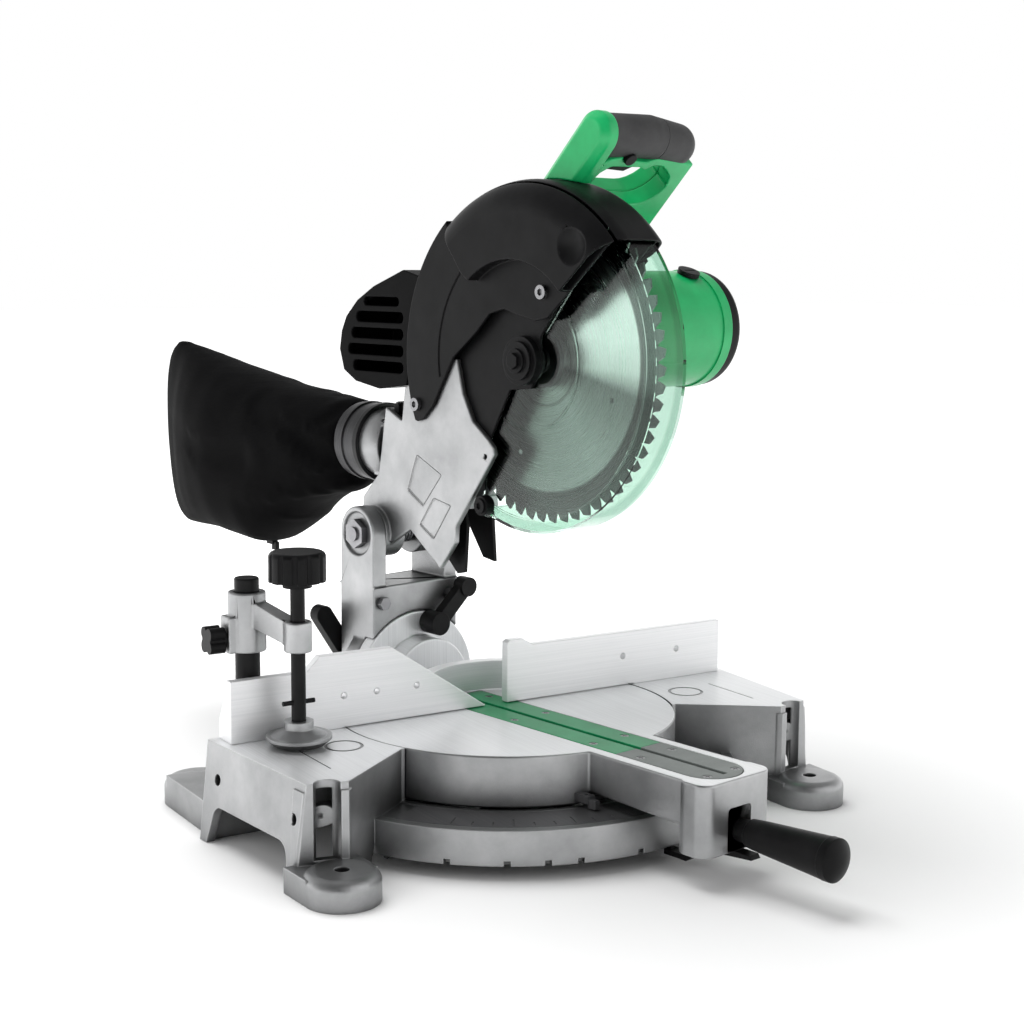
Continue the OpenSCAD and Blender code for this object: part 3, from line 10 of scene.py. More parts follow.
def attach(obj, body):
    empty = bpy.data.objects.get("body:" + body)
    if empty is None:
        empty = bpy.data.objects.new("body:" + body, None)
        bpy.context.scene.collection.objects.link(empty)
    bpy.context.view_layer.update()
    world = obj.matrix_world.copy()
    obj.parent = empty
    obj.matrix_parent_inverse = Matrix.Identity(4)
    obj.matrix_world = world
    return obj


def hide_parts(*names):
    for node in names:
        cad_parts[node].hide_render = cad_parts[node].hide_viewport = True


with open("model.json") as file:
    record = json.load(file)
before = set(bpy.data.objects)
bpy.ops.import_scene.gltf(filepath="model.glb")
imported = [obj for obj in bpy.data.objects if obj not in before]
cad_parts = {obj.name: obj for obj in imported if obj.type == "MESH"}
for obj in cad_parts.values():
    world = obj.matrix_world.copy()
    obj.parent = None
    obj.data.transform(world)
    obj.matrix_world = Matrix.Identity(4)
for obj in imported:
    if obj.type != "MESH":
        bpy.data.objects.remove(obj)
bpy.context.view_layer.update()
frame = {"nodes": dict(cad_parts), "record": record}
NODES = frame["nodes"]

# Saw frame: the table and head are turned by the mitre angle
MITRE = math.radians(9.5)
EX = Vector((math.cos(MITRE), math.sin(MITRE), 0.0))
EY = Vector((-math.sin(MITRE), math.cos(MITRE), 0.0))
EZ = Vector((0.0, 0.0, 1.0))
# Metres in that frame: blade axis and radius, chute axis height, table height, end of the collar's black ring
BLADE_Y, BLADE_Z, BLADE_R = -0.0443, 0.3656, 0.1275
CHUTE_Z = 0.285
TABLE_TOP = 0.078
RING_END = 0.1638


def table_point(x, y, z):
    """Row-frame point for coordinates of the turned table, in metres."""
    return EX * x + EY * y + EZ * z


BLADE_CENTRE = table_point(0.0, BLADE_Y, BLADE_Z)


# Node helpers: cosines between which an edge counts as rubbed, and tones of the painted shade on an open or
# closed-in surface
EDGE_COSINES = (0.995, 0.90)
PAINTED_SHADE_STOPS = [(0.25, (0.22, 0.22, 0.22)), (0.85, (1, 1, 1))]


class Shader:
    """A material with a Principled shader and short calls for its nodes."""

    def __init__(self, name):
        self.material = bpy.data.materials.new(name)
        self.material.use_nodes = True
        self.tree = self.material.node_tree
        self.principled = self.tree.nodes["Principled BSDF"]

    def node(self, kind, **values):
        made = self.tree.nodes.new(kind)
        for key, value in values.items():
            setattr(made, key, value)
        return made

    def link(self, out, into):
        self.tree.links.new(out, into)

    def set(self, **values):
        for key, value in values.items():
            self.principled.inputs[key.replace("_", " ")].default_value = value

    def place(self):
        return self.node("ShaderNodeTexCoord").outputs["Object"]

    def mapped(self, scale=(1, 1, 1), turn=(0, 0, 0)):
        mapping = self.node("ShaderNodeMapping")
        mapping.inputs["Scale"].default_value = scale
        mapping.inputs["Rotation"].default_value = turn
        self.link(self.place(), mapping.inputs["Vector"])
        return mapping.outputs["Vector"]

    def noise(self, vector, scale, detail=4.0, rough=0.6):
        made = self.node("ShaderNodeTexNoise")
        made.inputs["Scale"].default_value = scale
        made.inputs["Detail"].default_value = detail
        made.inputs["Roughness"].default_value = rough
        self.link(vector, made.inputs["Vector"])
        return made.outputs["Fac"]

    def ramp(self, fac, stops):
        made = self.node("ShaderNodeValToRGB")
        elements = made.color_ramp.elements
        while len(elements) < len(stops):
            elements.new(0.5)
        for element, (place, colour) in zip(elements, stops):
            element.position = place
            element.color = colour if len(colour) == 4 else (*colour, 1.0)
        self.link(fac, made.inputs["Fac"])
        return made.outputs["Color"]

    def span(self, fac, low, high):
        made = self.node("ShaderNodeMapRange")
        made.inputs["To Min"].default_value = low
        made.inputs["To Max"].default_value = high
        self.link(fac, made.inputs["Value"])
        return made.outputs["Result"]

    def soft_edge(self, radius):
        made = self.node("ShaderNodeBevel", samples=4)
        made.inputs["Radius"].default_value = radius
        return made.outputs["Normal"]

    def edge_mask(self, soft):
        """1 on an edge that the soft normal rounds off, 0 on a flat face."""
        flat = self.node("ShaderNodeNewGeometry").outputs["Normal"]
        dot = self.node("ShaderNodeVectorMath", operation="DOT_PRODUCT")
        self.link(soft, dot.inputs[0])
        self.link(flat, dot.inputs[1])
        made = self.node("ShaderNodeMapRange")
        made.inputs["From Min"].default_value = EDGE_COSINES[0]
        made.inputs["From Max"].default_value = EDGE_COSINES[1]
        self.link(dot.outputs["Value"], made.inputs["Value"])
        return made.outputs["Result"]

    def painted_shade(self, reach):
        """Painted shade: darker in corners and pockets, where shade falls."""
        made = self.node("ShaderNodeAmbientOcclusion", samples=6)
        made.inputs["Distance"].default_value = reach
        return self.ramp(made.outputs["AO"], PAINTED_SHADE_STOPS)

    def mix(self, fac, a, b, blend="MIX"):
        made = self.node("ShaderNodeMix", data_type="RGBA", blend_type=blend)
        if isinstance(fac, float):
            made.inputs["Factor"].default_value = fac
        else:
            self.link(fac, made.inputs["Factor"])
        for value, socket in ((a, made.inputs["A"]), (b, made.inputs["B"])):
            if isinstance(value, tuple):
                socket.default_value = (*value, 1.0)
            else:
                self.link(value, socket)
        return made.outputs["Result"]

    def bump(self, height, strength, distance, soft=None):
        made = self.node("ShaderNodeBump")
        made.inputs["Strength"].default_value = strength
        made.inputs["Distance"].default_value = distance
        self.link(height, made.inputs["Height"])
        if soft is not None:
            self.link(soft, made.inputs["Normal"])
        self.link(made.outputs["Normal"], self.principled.inputs["Normal"])


# Cast metal: share of metal on the skin and on a ground top, that top's roughness and lines,
# the scale of the clouds, and lengths in metres
CAST_METALLIC, GROUND_METALLIC = 0.9, 0.55
GROUND_SHINE = (0.24, 0.38)
GROUND_LINES = (900, 9, 9)
CLOUD_SCALE = 22.0
# reach in metres of the painted shade in corners and pockets
PAINTED_SHADE_REACH = 0.03
PEBBLE_DEPTH = 0.0004
RUBBED_GAIN = 1.35
TOP_MARGIN = 0.0002


def cast_metal(
    name, dark, light, rough=(0.28, 0.44), grain=900.0, bump=0.3, edge=0.0016, machined=None,
):
    """Sand-cast metal: pebbled skin, clouds, rubbed edges, painted shade in corners. machined: height and
    tones of a ground top.
    """
    s = Shader(name)
    s.set(Metallic=CAST_METALLIC)
    where = s.place()
    soft = s.soft_edge(edge)
    worn = s.edge_mask(soft)
    cloud = s.noise(where, CLOUD_SCALE, 5.0)
    tone = s.ramp(cloud, [(0.3, dark), (0.7, light)])
    rubbed = tuple(min(1.0, RUBBED_GAIN * c) for c in light)
    tone = s.mix(worn, tone, rubbed)
    # painted shade: corners and pockets darkened in the tone
    tone = s.mix(1.0, tone, s.painted_shade(PAINTED_SHADE_REACH), "MULTIPLY")
    pebble = s.noise(where, grain, 3.0, 0.7)
    shine = s.span(pebble, *rough)
    if machined is not None:
        height, bright = machined
        axes = s.node("ShaderNodeSeparateXYZ")
        s.link(where, axes.inputs[0])
        top = s.node("ShaderNodeMath", operation="GREATER_THAN")
        s.link(axes.outputs["Z"], top.inputs[0])
        top.inputs[1].default_value = height - TOP_MARGIN
        lines = s.noise(s.mapped(scale=GROUND_LINES, turn=(0, 0, -MITRE)), 1.0, 5.0, 0.6)
        ground = s.ramp(lines, [(0.2, bright[0]), (0.8, bright[1])])
        tone = s.mix(top.outputs["Value"], tone, ground)
        sheen = s.node("ShaderNodeMix", data_type="FLOAT")
        s.link(top.outputs["Value"], sheen.inputs["Factor"])
        s.link(shine, sheen.inputs["A"])
        s.link(s.span(lines, *GROUND_SHINE), sheen.inputs["B"])
        shine = sheen.outputs["Result"]
        metal = s.span(top.outputs["Value"], CAST_METALLIC, GROUND_METALLIC)
        s.link(metal, s.principled.inputs["Metallic"])
    s.link(tone, s.principled.inputs["Base Color"])
    s.link(shine, s.principled.inputs["Roughness"])
    s.bump(pebble, bump, PEBBLE_DEPTH, soft)
    return s.material


# Depth in metres of ground lines and of a mould's spark texture; a moulding's mottling and edge wear
FINE_DEPTH = 0.0002
MOTTLE_SCALE = 35.0
MOULD_WEAR, MOULD_GAIN = 0.5, 1.9


def brushed_metal(
    name, dark, light, stretch, rough=(0.26, 0.4), bump=0.06, edge=0.0008, metallic=0.65,
):
    """Ground metal with fine lines along one direction."""
    s = Shader(name)
    s.set(Metallic=metallic)
    lines = s.noise(s.mapped(scale=stretch), 1.0, 6.0, 0.65)
    s.link(s.ramp(lines, [(0.25, dark), (0.75, light)]), s.principled.inputs["Base Color"])
    s.link(s.span(lines, *rough), s.principled.inputs["Roughness"])
    s.bump(lines, bump, FINE_DEPTH, s.soft_edge(edge))
    return s.material


def moulded(
    name, dark, light, rough=(0.32, 0.46), grain=1400.0, bump=0.12, coat=0.0, specular=0.5, edge=0.001,
):
    """Moulded plastic: fine spark texture, faint mottling, and edges rubbed a little lighter."""
    s = Shader(name)
    s.set(Coat_Weight=coat, Coat_Roughness=0.2, IOR=1.5, Specular_IOR_Level=specular)
    where = s.place()
    soft = s.soft_edge(edge)
    worn = s.span(s.edge_mask(soft), 0.0, MOULD_WEAR)
    mottle = s.noise(where, MOTTLE_SCALE, 4.0)
    tone = s.ramp(mottle, [(0.3, dark), (0.7, light)])
    rubbed = tuple(MOULD_GAIN * c for c in light)
    s.link(s.mix(worn, tone, rubbed), s.principled.inputs["Base Color"])
    spark = s.noise(where, grain, 2.0, 0.5)
    s.link(s.span(spark, *rough), s.principled.inputs["Roughness"])
    s.bump(spark, bump, FINE_DEPTH, soft)
    return s.material


def blade_share(s):
    """Vector from the blade's centre, and its length as a share of the blade radius."""
    rel = s.node("ShaderNodeVectorMath", operation="SUBTRACT")
    s.link(s.place(), rel.inputs[0])
    rel.inputs[1].default_value = BLADE_CENTRE
    radius = s.node("ShaderNodeVectorMath", operation="LENGTH")
    s.link(rel.outputs["Vector"], radius.inputs[0])
    share = s.node("ShaderNodeMath", operation="DIVIDE")
    s.link(radius.outputs["Value"], share.inputs[0])
    share.inputs[1].default_value = BLADE_R
    return rel.outputs["Vector"], share.outputs["Value"]


def turn_share(s, rel):
    """Angle about the blade axis as a share of a turn, from the rear, half way at the front."""
    parts = []
    for axis in (EZ, -EY):
        dot = s.node("ShaderNodeVectorMath", operation="DOT_PRODUCT")
        s.link(rel, dot.inputs[0])
        dot.inputs[1].default_value = axis
        parts.append(dot.outputs["Value"])
    angle = s.node("ShaderNodeMath", operation="ARCTAN2")
    s.link(parts[0], angle.inputs[0])
    s.link(parts[1], angle.inputs[1])
    made = s.node("ShaderNodeMapRange")
    made.inputs["From Min"].default_value = -math.pi
    made.inputs["From Max"].default_value = math.pi
    s.link(angle.outputs["Value"], made.inputs["Value"])
    return made.outputs["Result"]


# Share of a turn and brightness of the ground plate: a painted reflection, the fan of highlight and shade
# that light makes on circular grinding
BLADE_PAINTED_REFLECTION = [
    (0.0, (0.42, 0.44, 0.43)), (0.12, (0.28, 0.305, 0.29)), (0.22, (0.185, 0.20, 0.19)),
    (0.30, (0.22, 0.24, 0.23)), (0.36, (0.25, 0.27, 0.26)), (0.42, (0.18, 0.195, 0.185)),
    (0.462, (0.14, 0.15, 0.145)), (0.49, (0.70, 0.71, 0.70)), (0.53, (0.94, 0.94, 0.94)),
    (0.58, (1.0, 1.0, 1.0)), (0.63, (0.78, 0.78, 0.78)), (0.69, (0.32, 0.32, 0.32)),
    (0.75, (0.20, 0.20, 0.20)), (1.0, (0.42, 0.44, 0.43)),
]
# Share of the radius and tone: flange, its edge, plate, dark band and teeth
BLADE_TONES = [
    (0.0, (0.98, 0.98, 0.98)), (0.265, (0.98, 0.98, 0.98)), (0.275, (0.40, 0.41, 0.41)),
    (0.295, (0.94, 0.95, 0.96)), (0.80, (0.96, 0.97, 0.98)), (0.815, (0.20, 0.21, 0.21)),
    (0.91, (0.22, 0.23, 0.23)), (0.96, (0.30, 0.31, 0.31)),
]
LINE_TONES = [(0.3, (0.7, 0.7, 0.7)), (0.7, (1, 1, 1))]
BLADE_LINES, BLADE_DEPTH = 85.0, 0.0001
BLADE_SHINE = (0.2, 0.36)


def blade_metal(name):
    """Blade plate: lines round the arbor, a bright flange, a darker band and teeth near the rim, and a
    painted fan of reflected highlight and shade.
    """
    s = Shader(name)
    s.set(Metallic=1.0, Anisotropic=0.4)
    rel, share = blade_share(s)
    rings = s.node("ShaderNodeCombineXYZ")
    s.link(share, rings.inputs["X"])
    lines = s.noise(rings.outputs["Vector"], BLADE_LINES, 3.0, 0.7)
    base = s.ramp(share, BLADE_TONES)
    tone = s.mix(0.5, base, s.ramp(lines, LINE_TONES), "MULTIPLY")
    # painted reflection: the fan of highlight and shade round the arbor, multiplied into the tone
    tone = s.mix(1.0, tone, s.ramp(turn_share(s, rel), BLADE_PAINTED_REFLECTION), "MULTIPLY")
    s.link(tone, s.principled.inputs["Base Color"])
    s.link(s.span(lines, *BLADE_SHINE), s.principled.inputs["Roughness"])
    s.link(rel, s.principled.inputs["Tangent"])
    s.bump(lines, 0.02, BLADE_DEPTH)
    return s.material


# Share of the blade radius and tint of the clear guard, and the faint flow marks in it
GUARD_TINT = [(0.0, (0.82, 0.935, 0.875)), (0.98, (0.82, 0.935, 0.875)), (1.0, (0.55, 0.71, 0.63))]
GUARD_FLOW = [(0.3, (0.94, 0.97, 0.955)), (0.7, (1, 1, 1))]


def clear_guard(name):
    """Clear guard plastic, greener towards its thick rim."""
    s = Shader(name)
    s.set(Transmission_Weight=1.0, Roughness=0.0, IOR=1.13, Coat_Weight=0.5, Coat_Roughness=0.04)
    _, share = blade_share(s)
    tint = s.ramp(share, GUARD_TINT)
    flow = s.ramp(s.noise(s.place(), 60.0, 2.0), GUARD_FLOW)
    s.link(s.mix(1.0, tint, flow, "MULTIPLY"), s.principled.inputs["Base Color"])
    return s.material


# Bag collar: ring colour, band tones and roughness
COLLAR_RING = (0.008, 0.008, 0.0085)
COLLAR_BAND = [(0.25, (0.05, 0.05, 0.052)), (0.75, (0.10, 0.10, 0.103))]
COLLAR_LINES = (40, 1200, 40)
COLLAR_SHINE = (0.3, 0.46)


def banded_collar(name):
    """Bag collar: a brushed grey band behind a black rubber ring."""
    s = Shader(name)
    along = s.node("ShaderNodeVectorMath", operation="DOT_PRODUCT")
    s.link(s.place(), along.inputs[0])
    along.inputs[1].default_value = EY
    band = s.node("ShaderNodeMath", operation="GREATER_THAN")
    s.link(along.outputs["Value"], band.inputs[0])
    band.inputs[1].default_value = RING_END
    lines = s.noise(s.mapped(scale=COLLAR_LINES, turn=(0, 0, -MITRE)), 1.0, 5.0, 0.65)
    tone = s.mix(band.outputs["Value"], COLLAR_RING, s.ramp(lines, COLLAR_BAND))
    s.link(tone, s.principled.inputs["Base Color"])
    s.link(band.outputs["Value"], s.principled.inputs["Metallic"])
    s.link(s.span(lines, *COLLAR_SHINE), s.principled.inputs["Roughness"])
    s.set(Specular_IOR_Level=0.3)
    s.bump(lines, 0.06, FINE_DEPTH, s.soft_edge(0.0008))
    return s.material


# Bag cloth: scale of the weave, its depth in metres, worn tones and roughness
WEAVE_SCALE, WEAVE_DEPTH = 260.0, 0.0003
CLOTH_TONES = [(0.3, (0.0022, 0.0022, 0.0024)), (0.75, (0.0046, 0.0046, 0.0048))]
CLOTH_SHINE = (0.6, 0.8)


def cloth(name):
    """Black woven dust-bag cloth."""
    s = Shader(name)
    s.set(Specular_IOR_Level=0.03)
    where = s.mapped(turn=(0, 0, -MITRE))
    waves = []
    for direction in ("Y", "Z"):
        wave = s.node("ShaderNodeTexWave", wave_type="BANDS", bands_direction=direction)
        wave.inputs["Scale"].default_value = WEAVE_SCALE
        wave.inputs["Distortion"].default_value = 0.5
        s.link(where, wave.inputs["Vector"])
        waves.append(wave.outputs["Fac"])
    cross = s.node("ShaderNodeMath", operation="MULTIPLY")
    s.link(waves[0], cross.inputs[0])
    s.link(waves[1], cross.inputs[1])
    wear = s.noise(where, 30.0, 5.0)
    s.link(s.ramp(wear, CLOTH_TONES), s.principled.inputs["Base Color"])
    s.link(s.span(wear, *CLOTH_SHINE), s.principled.inputs["Roughness"])
    s.bump(cross.outputs["Value"], 0.3, WEAVE_DEPTH)
    return s.material


# Dark and light tones of the finishes that share a look
BLACK = ((0.003, 0.003, 0.0033), (0.007, 0.007, 0.0074))
GROUND_TOP = ((0.76, 0.77, 0.78), (0.93, 0.94, 0.95))
CAST = ((0.33, 0.335, 0.34), (0.49, 0.495, 0.50))
MATERIALS = {
    "cast_aluminium": cast_metal("Cast_Aluminium", *CAST),
    "table_top": cast_metal("Table_Casting", *CAST, machined=(TABLE_TOP, GROUND_TOP)),
    "machined_aluminium": brushed_metal(
        "Ground_Aluminium", (0.82, 0.83, 0.84), (0.95, 0.95, 0.96), (6, 6, 900), metallic=0.4,
    ),
    "black_plastic": moulded("Black_Plastic", *BLACK, (0.36, 0.48), specular=0.13),
    "vent_plastic": moulded(
        "Vent_Plastic", (0.0012, 0.0012, 0.0013), (0.003, 0.003, 0.0032), (0.4, 0.52), specular=0.06,
    ),
    "rubber_grip": moulded(
        "Rubber_Grip", (0.022, 0.022, 0.023), (0.046, 0.046, 0.047), (0.5, 0.66),
        grain=2200.0, bump=0.3, specular=0.3,
    ),
    "green_plastic": moulded(
        "Green_Plastic", (0.006, 0.32, 0.095), (0.012, 0.42, 0.13), (0.26, 0.38),
        grain=1500.0, bump=0.06, coat=0.12, specular=0.35,
    ),
    "insert_plastic": moulded("Insert_Plastic", (0.006, 0.21, 0.075), (0.012, 0.29, 0.11), (0.3, 0.42)),
    "grey_plastic": moulded("Grey_Plastic", (0.12, 0.135, 0.128), (0.17, 0.19, 0.18), (0.36, 0.48)),
    "clear_plastic": clear_guard("Clear_Guard"),
    "bright_steel": blade_metal("Blade_Steel"),
    "steel": cast_metal(
        "Plain_Steel", (0.26, 0.26, 0.27), (0.40, 0.40, 0.41), (0.25, 0.4),
        grain=1600.0, bump=0.08, edge=0.0006,
    ),
    "black_steel": moulded(
        "Black_Steel", (0.004, 0.004, 0.0043), (0.009, 0.009, 0.0094), (0.3, 0.44),
        grain=900.0, bump=0.1, specular=0.15,
    ),
    "scale_metal": brushed_metal("Scale_Metal", (0.10, 0.10, 0.105), (0.18, 0.18, 0.185), (900, 6, 6)),
    "bag_cloth": cloth("Bag_Cloth"),
    "collar": banded_collar("Bag_Collar"),
    "winding": cast_metal("Winding", (0.35, 0.16, 0.07), (0.5, 0.25, 0.12)),
}
# Nodes whose finish differs from their slot's
FINISH = {
    "base_casting": "table_top",
    "turntable": "table_top",
    "bag_collar": "collar",
    "zip_puller": "black_steel",
    "vent_housing": "vent_plastic",
}
SLOTS = {p["node"]: p["material_slot"] for p in frame["record"]["subparts"]}
for name, obj in NODES.items():
    obj.data.materials.clear()
    obj.data.materials.append(MATERIALS[FINISH.get(name, SLOTS[name])])


# Real rounding on the edges of the castings and mouldings: node and radius in metres
ROUNDED = {
    "base_casting": 0.0012,
    "turntable": 0.0015,
    "head_arm": 0.0012,
    "tilt_bracket": 0.0018,
    "fence": 0.0006,
    "upper_guard": 0.0009,
    "vent_housing": 0.0010,
    "handle_front": 0.0014,
    "handle_back": 0.0014,
    "clamp_arm": 0.0012,
    "dust_chute": 0.0010,
    "centre_plate": 0.0006,
    "trigger": 0.0012,
}
# The rounding of these is held back where edges run close together
CLAMPED = ("base_casting",)
WELD_GAP = 0.00002
FLAT_WITHIN = math.radians(0.6)
SHARP_FROM = math.radians(32)


def round_edges(obj, width):
    """Joins the facets of flat faces and rounds the sharp edges between them."""
    weld = obj.modifiers.new("Weld", "WELD")
    weld.merge_threshold = WELD_GAP
    planes = obj.modifiers.new("Planes", "DECIMATE")
    planes.decimate_type = "DISSOLVE"
    planes.angle_limit = FLAT_WITHIN
    bevel = obj.modifiers.new("Round", "BEVEL")
    bevel.width = width
    bevel.segments = 3
    bevel.limit_method = "ANGLE"
    bevel.angle_limit = SHARP_FROM
    bevel.use_clamp_overlap = obj.name in CLAMPED
    bevel.miter_outer = "MITER_ARC"
    normals = obj.modifiers.new("Normals", "WEIGHTED_NORMAL")
    normals.keep_sharp = True
    obj.data.shade_smooth()


for name, width in ROUNDED.items():
    round_edges(NODES[name], width)


# Dust bag: a lofted cloth shell, blown up a little and creased from its mouth
BAG_Y0, BAG_LEN = 0.1901, 0.333
# share of the length and millimetres above, below and beside the chute axis
BAG_TOP = [
    (0, 33), (0.11, 38.5), (0.32, 45), (0.62, 60), (0.87, 77), (0.92, 80.5),
    (0.98, 69), (0.99, 54), (1, 40),
]
BAG_LOW = [
    (0, -33), (0.04, -46), (0.2, -70), (0.37, -103), (0.42, -111.5), (0.47, -110),
    (0.65, -106), (0.89, -109), (0.94, -99), (0.97, -80), (0.985, -56), (1, -26),
]
BAG_WIDE = [
    (0, 33), (0.045, 40), (0.15, 50), (0.36, 55), (0.57, 56), (0.7, 48),
    (0.79, 38), (0.87, 24), (0.96, 12), (1, 7),
]
# crease lines on the two panels: side, points (y, z), depth, width
BAG_FOLDS = [
    (-1, [(0.196, 0.268), (0.240, 0.291), (0.300, 0.306)], 0.0045, 0.010),
    (-1, [(0.194, 0.254), (0.218, 0.247), (0.258, 0.238)], 0.0040, 0.009),
    (-1, [(0.198, 0.309), (0.211, 0.298), (0.232, 0.300)], 0.0030, 0.007),
    (-1, [(0.220, 0.226), (0.262, 0.216), (0.316, 0.214)], 0.0028, 0.010),
    (-1, [(0.310, 0.262), (0.380, 0.262), (0.445, 0.276)], 0.0030, 0.014),
    (1, [(0.194, 0.300), (0.244, 0.310), (0.310, 0.320)], 0.0040, 0.010),
    (1, [(0.194, 0.264), (0.236, 0.254), (0.300, 0.246)], 0.0045, 0.010),
    (1, [(0.218, 0.228), (0.270, 0.218), (0.345, 0.220)], 0.0030, 0.011),
    (1, [(0.320, 0.282), (0.390, 0.276), (0.450, 0.284)], 0.0030, 0.014),
]
# metres: farthest move of a point by the cloth step, pinned length at the mouth, voxel, least half width
BAG_CAP = 0.004
BAG_PINNED = 0.012
BAG_VOXEL = 0.005
BAG_LEAST = 0.004
BAG_SQUARE = 0.22
CLOTH_STEPS = 20
FOLD_FADE = 0.75
FOLD_RIDGE, FOLD_RIDGE_AT = 0.45, 1.7


def smooth_table(rows, u):
    """Values in metres of a bag outline at u, rounded where its straight runs meet."""
    places, values = zip(*rows)
    fine = np.linspace(-0.06, 1.06, 281)
    line = np.interp(fine, places, values)
    line[fine < 0] = 2 * values[0] - np.interp(-fine[fine < 0], places, values)
    line[fine > 1] = 2 * values[-1] - np.interp(2 - fine[fine > 1], places, values)
    window = np.hanning(15)
    soft = np.convolve(line, window / window.sum(), "same")
    return np.interp(u, fine, soft) / 1000.0


def loft_bag(rows=72, cols=80, shrink=0.002):
    """Closed shell through the outlines, with squarer sections away from the round mouth."""
    u = np.linspace(0.0, 1.0, rows)
    top, low, wide = (smooth_table(t, u) for t in (BAG_TOP, BAG_LOW, BAG_WIDE))
    ends = np.clip(u * 8, 0, 1)
    half = (top - low) / 2 - shrink * ends
    wide = np.maximum(wide - shrink * ends, BAG_LEAST)
    power = 1.0 - BAG_SQUARE * np.clip(u * 4, 0, 1)
    turn = np.linspace(0, 2 * math.pi, cols, endpoint=False)
    verts = []
    for i in range(rows):
        c, s = np.cos(turn), np.sin(turn)
        x = np.sign(c) * np.abs(c) ** power[i] * wide[i]
        z = np.sign(s) * np.abs(s) ** power[i] * half[i] + (top[i] + low[i]) / 2
        y = BAG_Y0 + (BAG_LEN - shrink) * u[i]
        verts += [table_point(a, y, CHUTE_Z + b) for a, b in zip(x, z)]
    faces = []
    for i in range(rows - 1):
        for k in range(cols):
            n = (k + 1) % cols
            near, far = i * cols, (i + 1) * cols
            faces.append((near + k, near + n, far + n, far + k))
    faces.append(tuple(range(cols - 1, -1, -1)))
    faces.append(tuple((rows - 1) * cols + k for k in range(cols)))
    mesh = bpy.data.meshes.new("Dust_Bag")
    mesh.from_pydata(verts, [], faces)
    mesh.update()
    obj = bpy.data.objects.new("Dust_Bag", mesh)
    bpy.context.scene.collection.objects.link(obj)
    return obj


def bake(obj):
    """Replaces the mesh of obj by what its modifiers make of it, and drops them."""
    graph = bpy.context.evaluated_depsgraph_get()
    made = bpy.data.meshes.new_from_object(obj.evaluated_get(graph))
    obj.modifiers.clear()
    obj.data = made


def coords(mesh):
    flat = np.empty(len(mesh.vertices) * 3)
    mesh.vertices.foreach_get("co", flat)
    return flat.reshape(-1, 3)


def set_coords(mesh, points):
    mesh.vertices.foreach_set("co", points.ravel())
    mesh.update()


def to_table(points):
    """Row-frame points in the coordinates of the turned table."""
    return np.stack([points @ np.array(EX), points @ np.array(EY), points[:, 2]], 1)


def blow_up(obj):
    """Cloth simulation: light pressure swells the bag, pinned at its mouth, each point by a capped way."""
    rest = coords(obj.data)
    pin = obj.vertex_groups.new(name="mouth")
    near = np.nonzero(to_table(rest)[:, 1] < BAG_Y0 + BAG_PINNED)[0]
    pin.add([int(i) for i in near], 1.0, "REPLACE")
    cloth_mod = obj.modifiers.new("Cloth", "CLOTH")
    settings = cloth_mod.settings
    settings.quality = 5
    settings.mass = 0.15
    settings.tension_stiffness = 20
    settings.compression_stiffness = 10
    settings.shear_stiffness = 8
    settings.bending_stiffness = 2.0
    settings.use_pressure = True
    settings.uniform_pressure_force = 0.8
    settings.vertex_group_mass = "mouth"
    settings.effector_weights.gravity = 0.0
    scene = bpy.context.scene
    for step in range(1, CLOTH_STEPS + 1):
        scene.frame_set(step)
    graph = bpy.context.evaluated_depsgraph_get()
    swollen = coords(obj.evaluated_get(graph).data)
    obj.modifiers.clear()
    obj.vertex_groups.clear()
    scene.frame_set(1)
    move = swollen - rest
    length = np.linalg.norm(move, axis=1, keepdims=True)
    held = np.minimum(1.0, BAG_CAP / np.maximum(length, 1e-9))
    set_coords(obj.data, rest + move * held)


def crease(obj):
    """Presses the fold lines into the two panels, fading towards their far ends."""
    points = coords(obj.data)
    table = to_table(points)
    normals = np.empty(len(points) * 3)
    obj.data.vertices.foreach_get("normal", normals)
    normals = normals.reshape(-1, 3)
    depth_at = np.zeros(len(points))
    for side, line, depth, width in BAG_FOLDS:
        line = np.array(line)
        for part, (a, b) in enumerate(zip(line[:-1], line[1:])):
            along = np.clip(((table[:, 1:] - a) @ (b - a)) / ((b - a) @ (b - a)), 0, 1)
            away = np.linalg.norm(table[:, 1:] - (a + along[:, None] * (b - a)), axis=1)
            fade = 1.0 - (part + along) / (len(line) - 1) * FOLD_FADE
            valley = np.exp(-((away / width) ** 2))
            ridge = np.exp(-(((away - FOLD_RIDGE_AT * width) / width) ** 2))
            amount = depth * fade * (valley - FOLD_RIDGE * ridge) * (table[:, 0] * side > 0)
            depth_at = np.where(np.abs(amount) > np.abs(depth_at), amount, depth_at)
    set_coords(obj.data, points - normals * depth_at[:, None])


def add_bag():
    """The cloth bag in place of its plain solid."""
    bag = loft_bag()
    remesh = bag.modifiers.new("Remesh", "REMESH")
    remesh.mode = "VOXEL"
    remesh.voxel_size = BAG_VOXEL
    ease = bag.modifiers.new("Ease", "SMOOTH")
    ease.factor, ease.iterations = 0.5, 4
    bake(bag)
    blow_up(bag)
    crease(bag)
    fine = bag.modifiers.new("Fine", "SUBSURF")
    fine.levels = fine.render_levels = 1
    bake(bag)
    bag.data.shade_smooth()
    bag.data.materials.clear()
    bag.data.materials.append(MATERIALS["bag_cloth"])
    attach(bag, "head")
    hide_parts("dust_bag")


add_bag()


# Camera fitted to the photograph: place in metres, yaw, pitch and roll in degrees, lens in millimetres
CAMERA_PLACE = (-0.72507, -1.15289, 0.43664)
CAMERA_ANGLES = (32.34, -8.17, 0.39)
CAMERA_LENS, CAMERA_SENSOR = 59.94, 36.0
CAMERA_REACH = 50.0


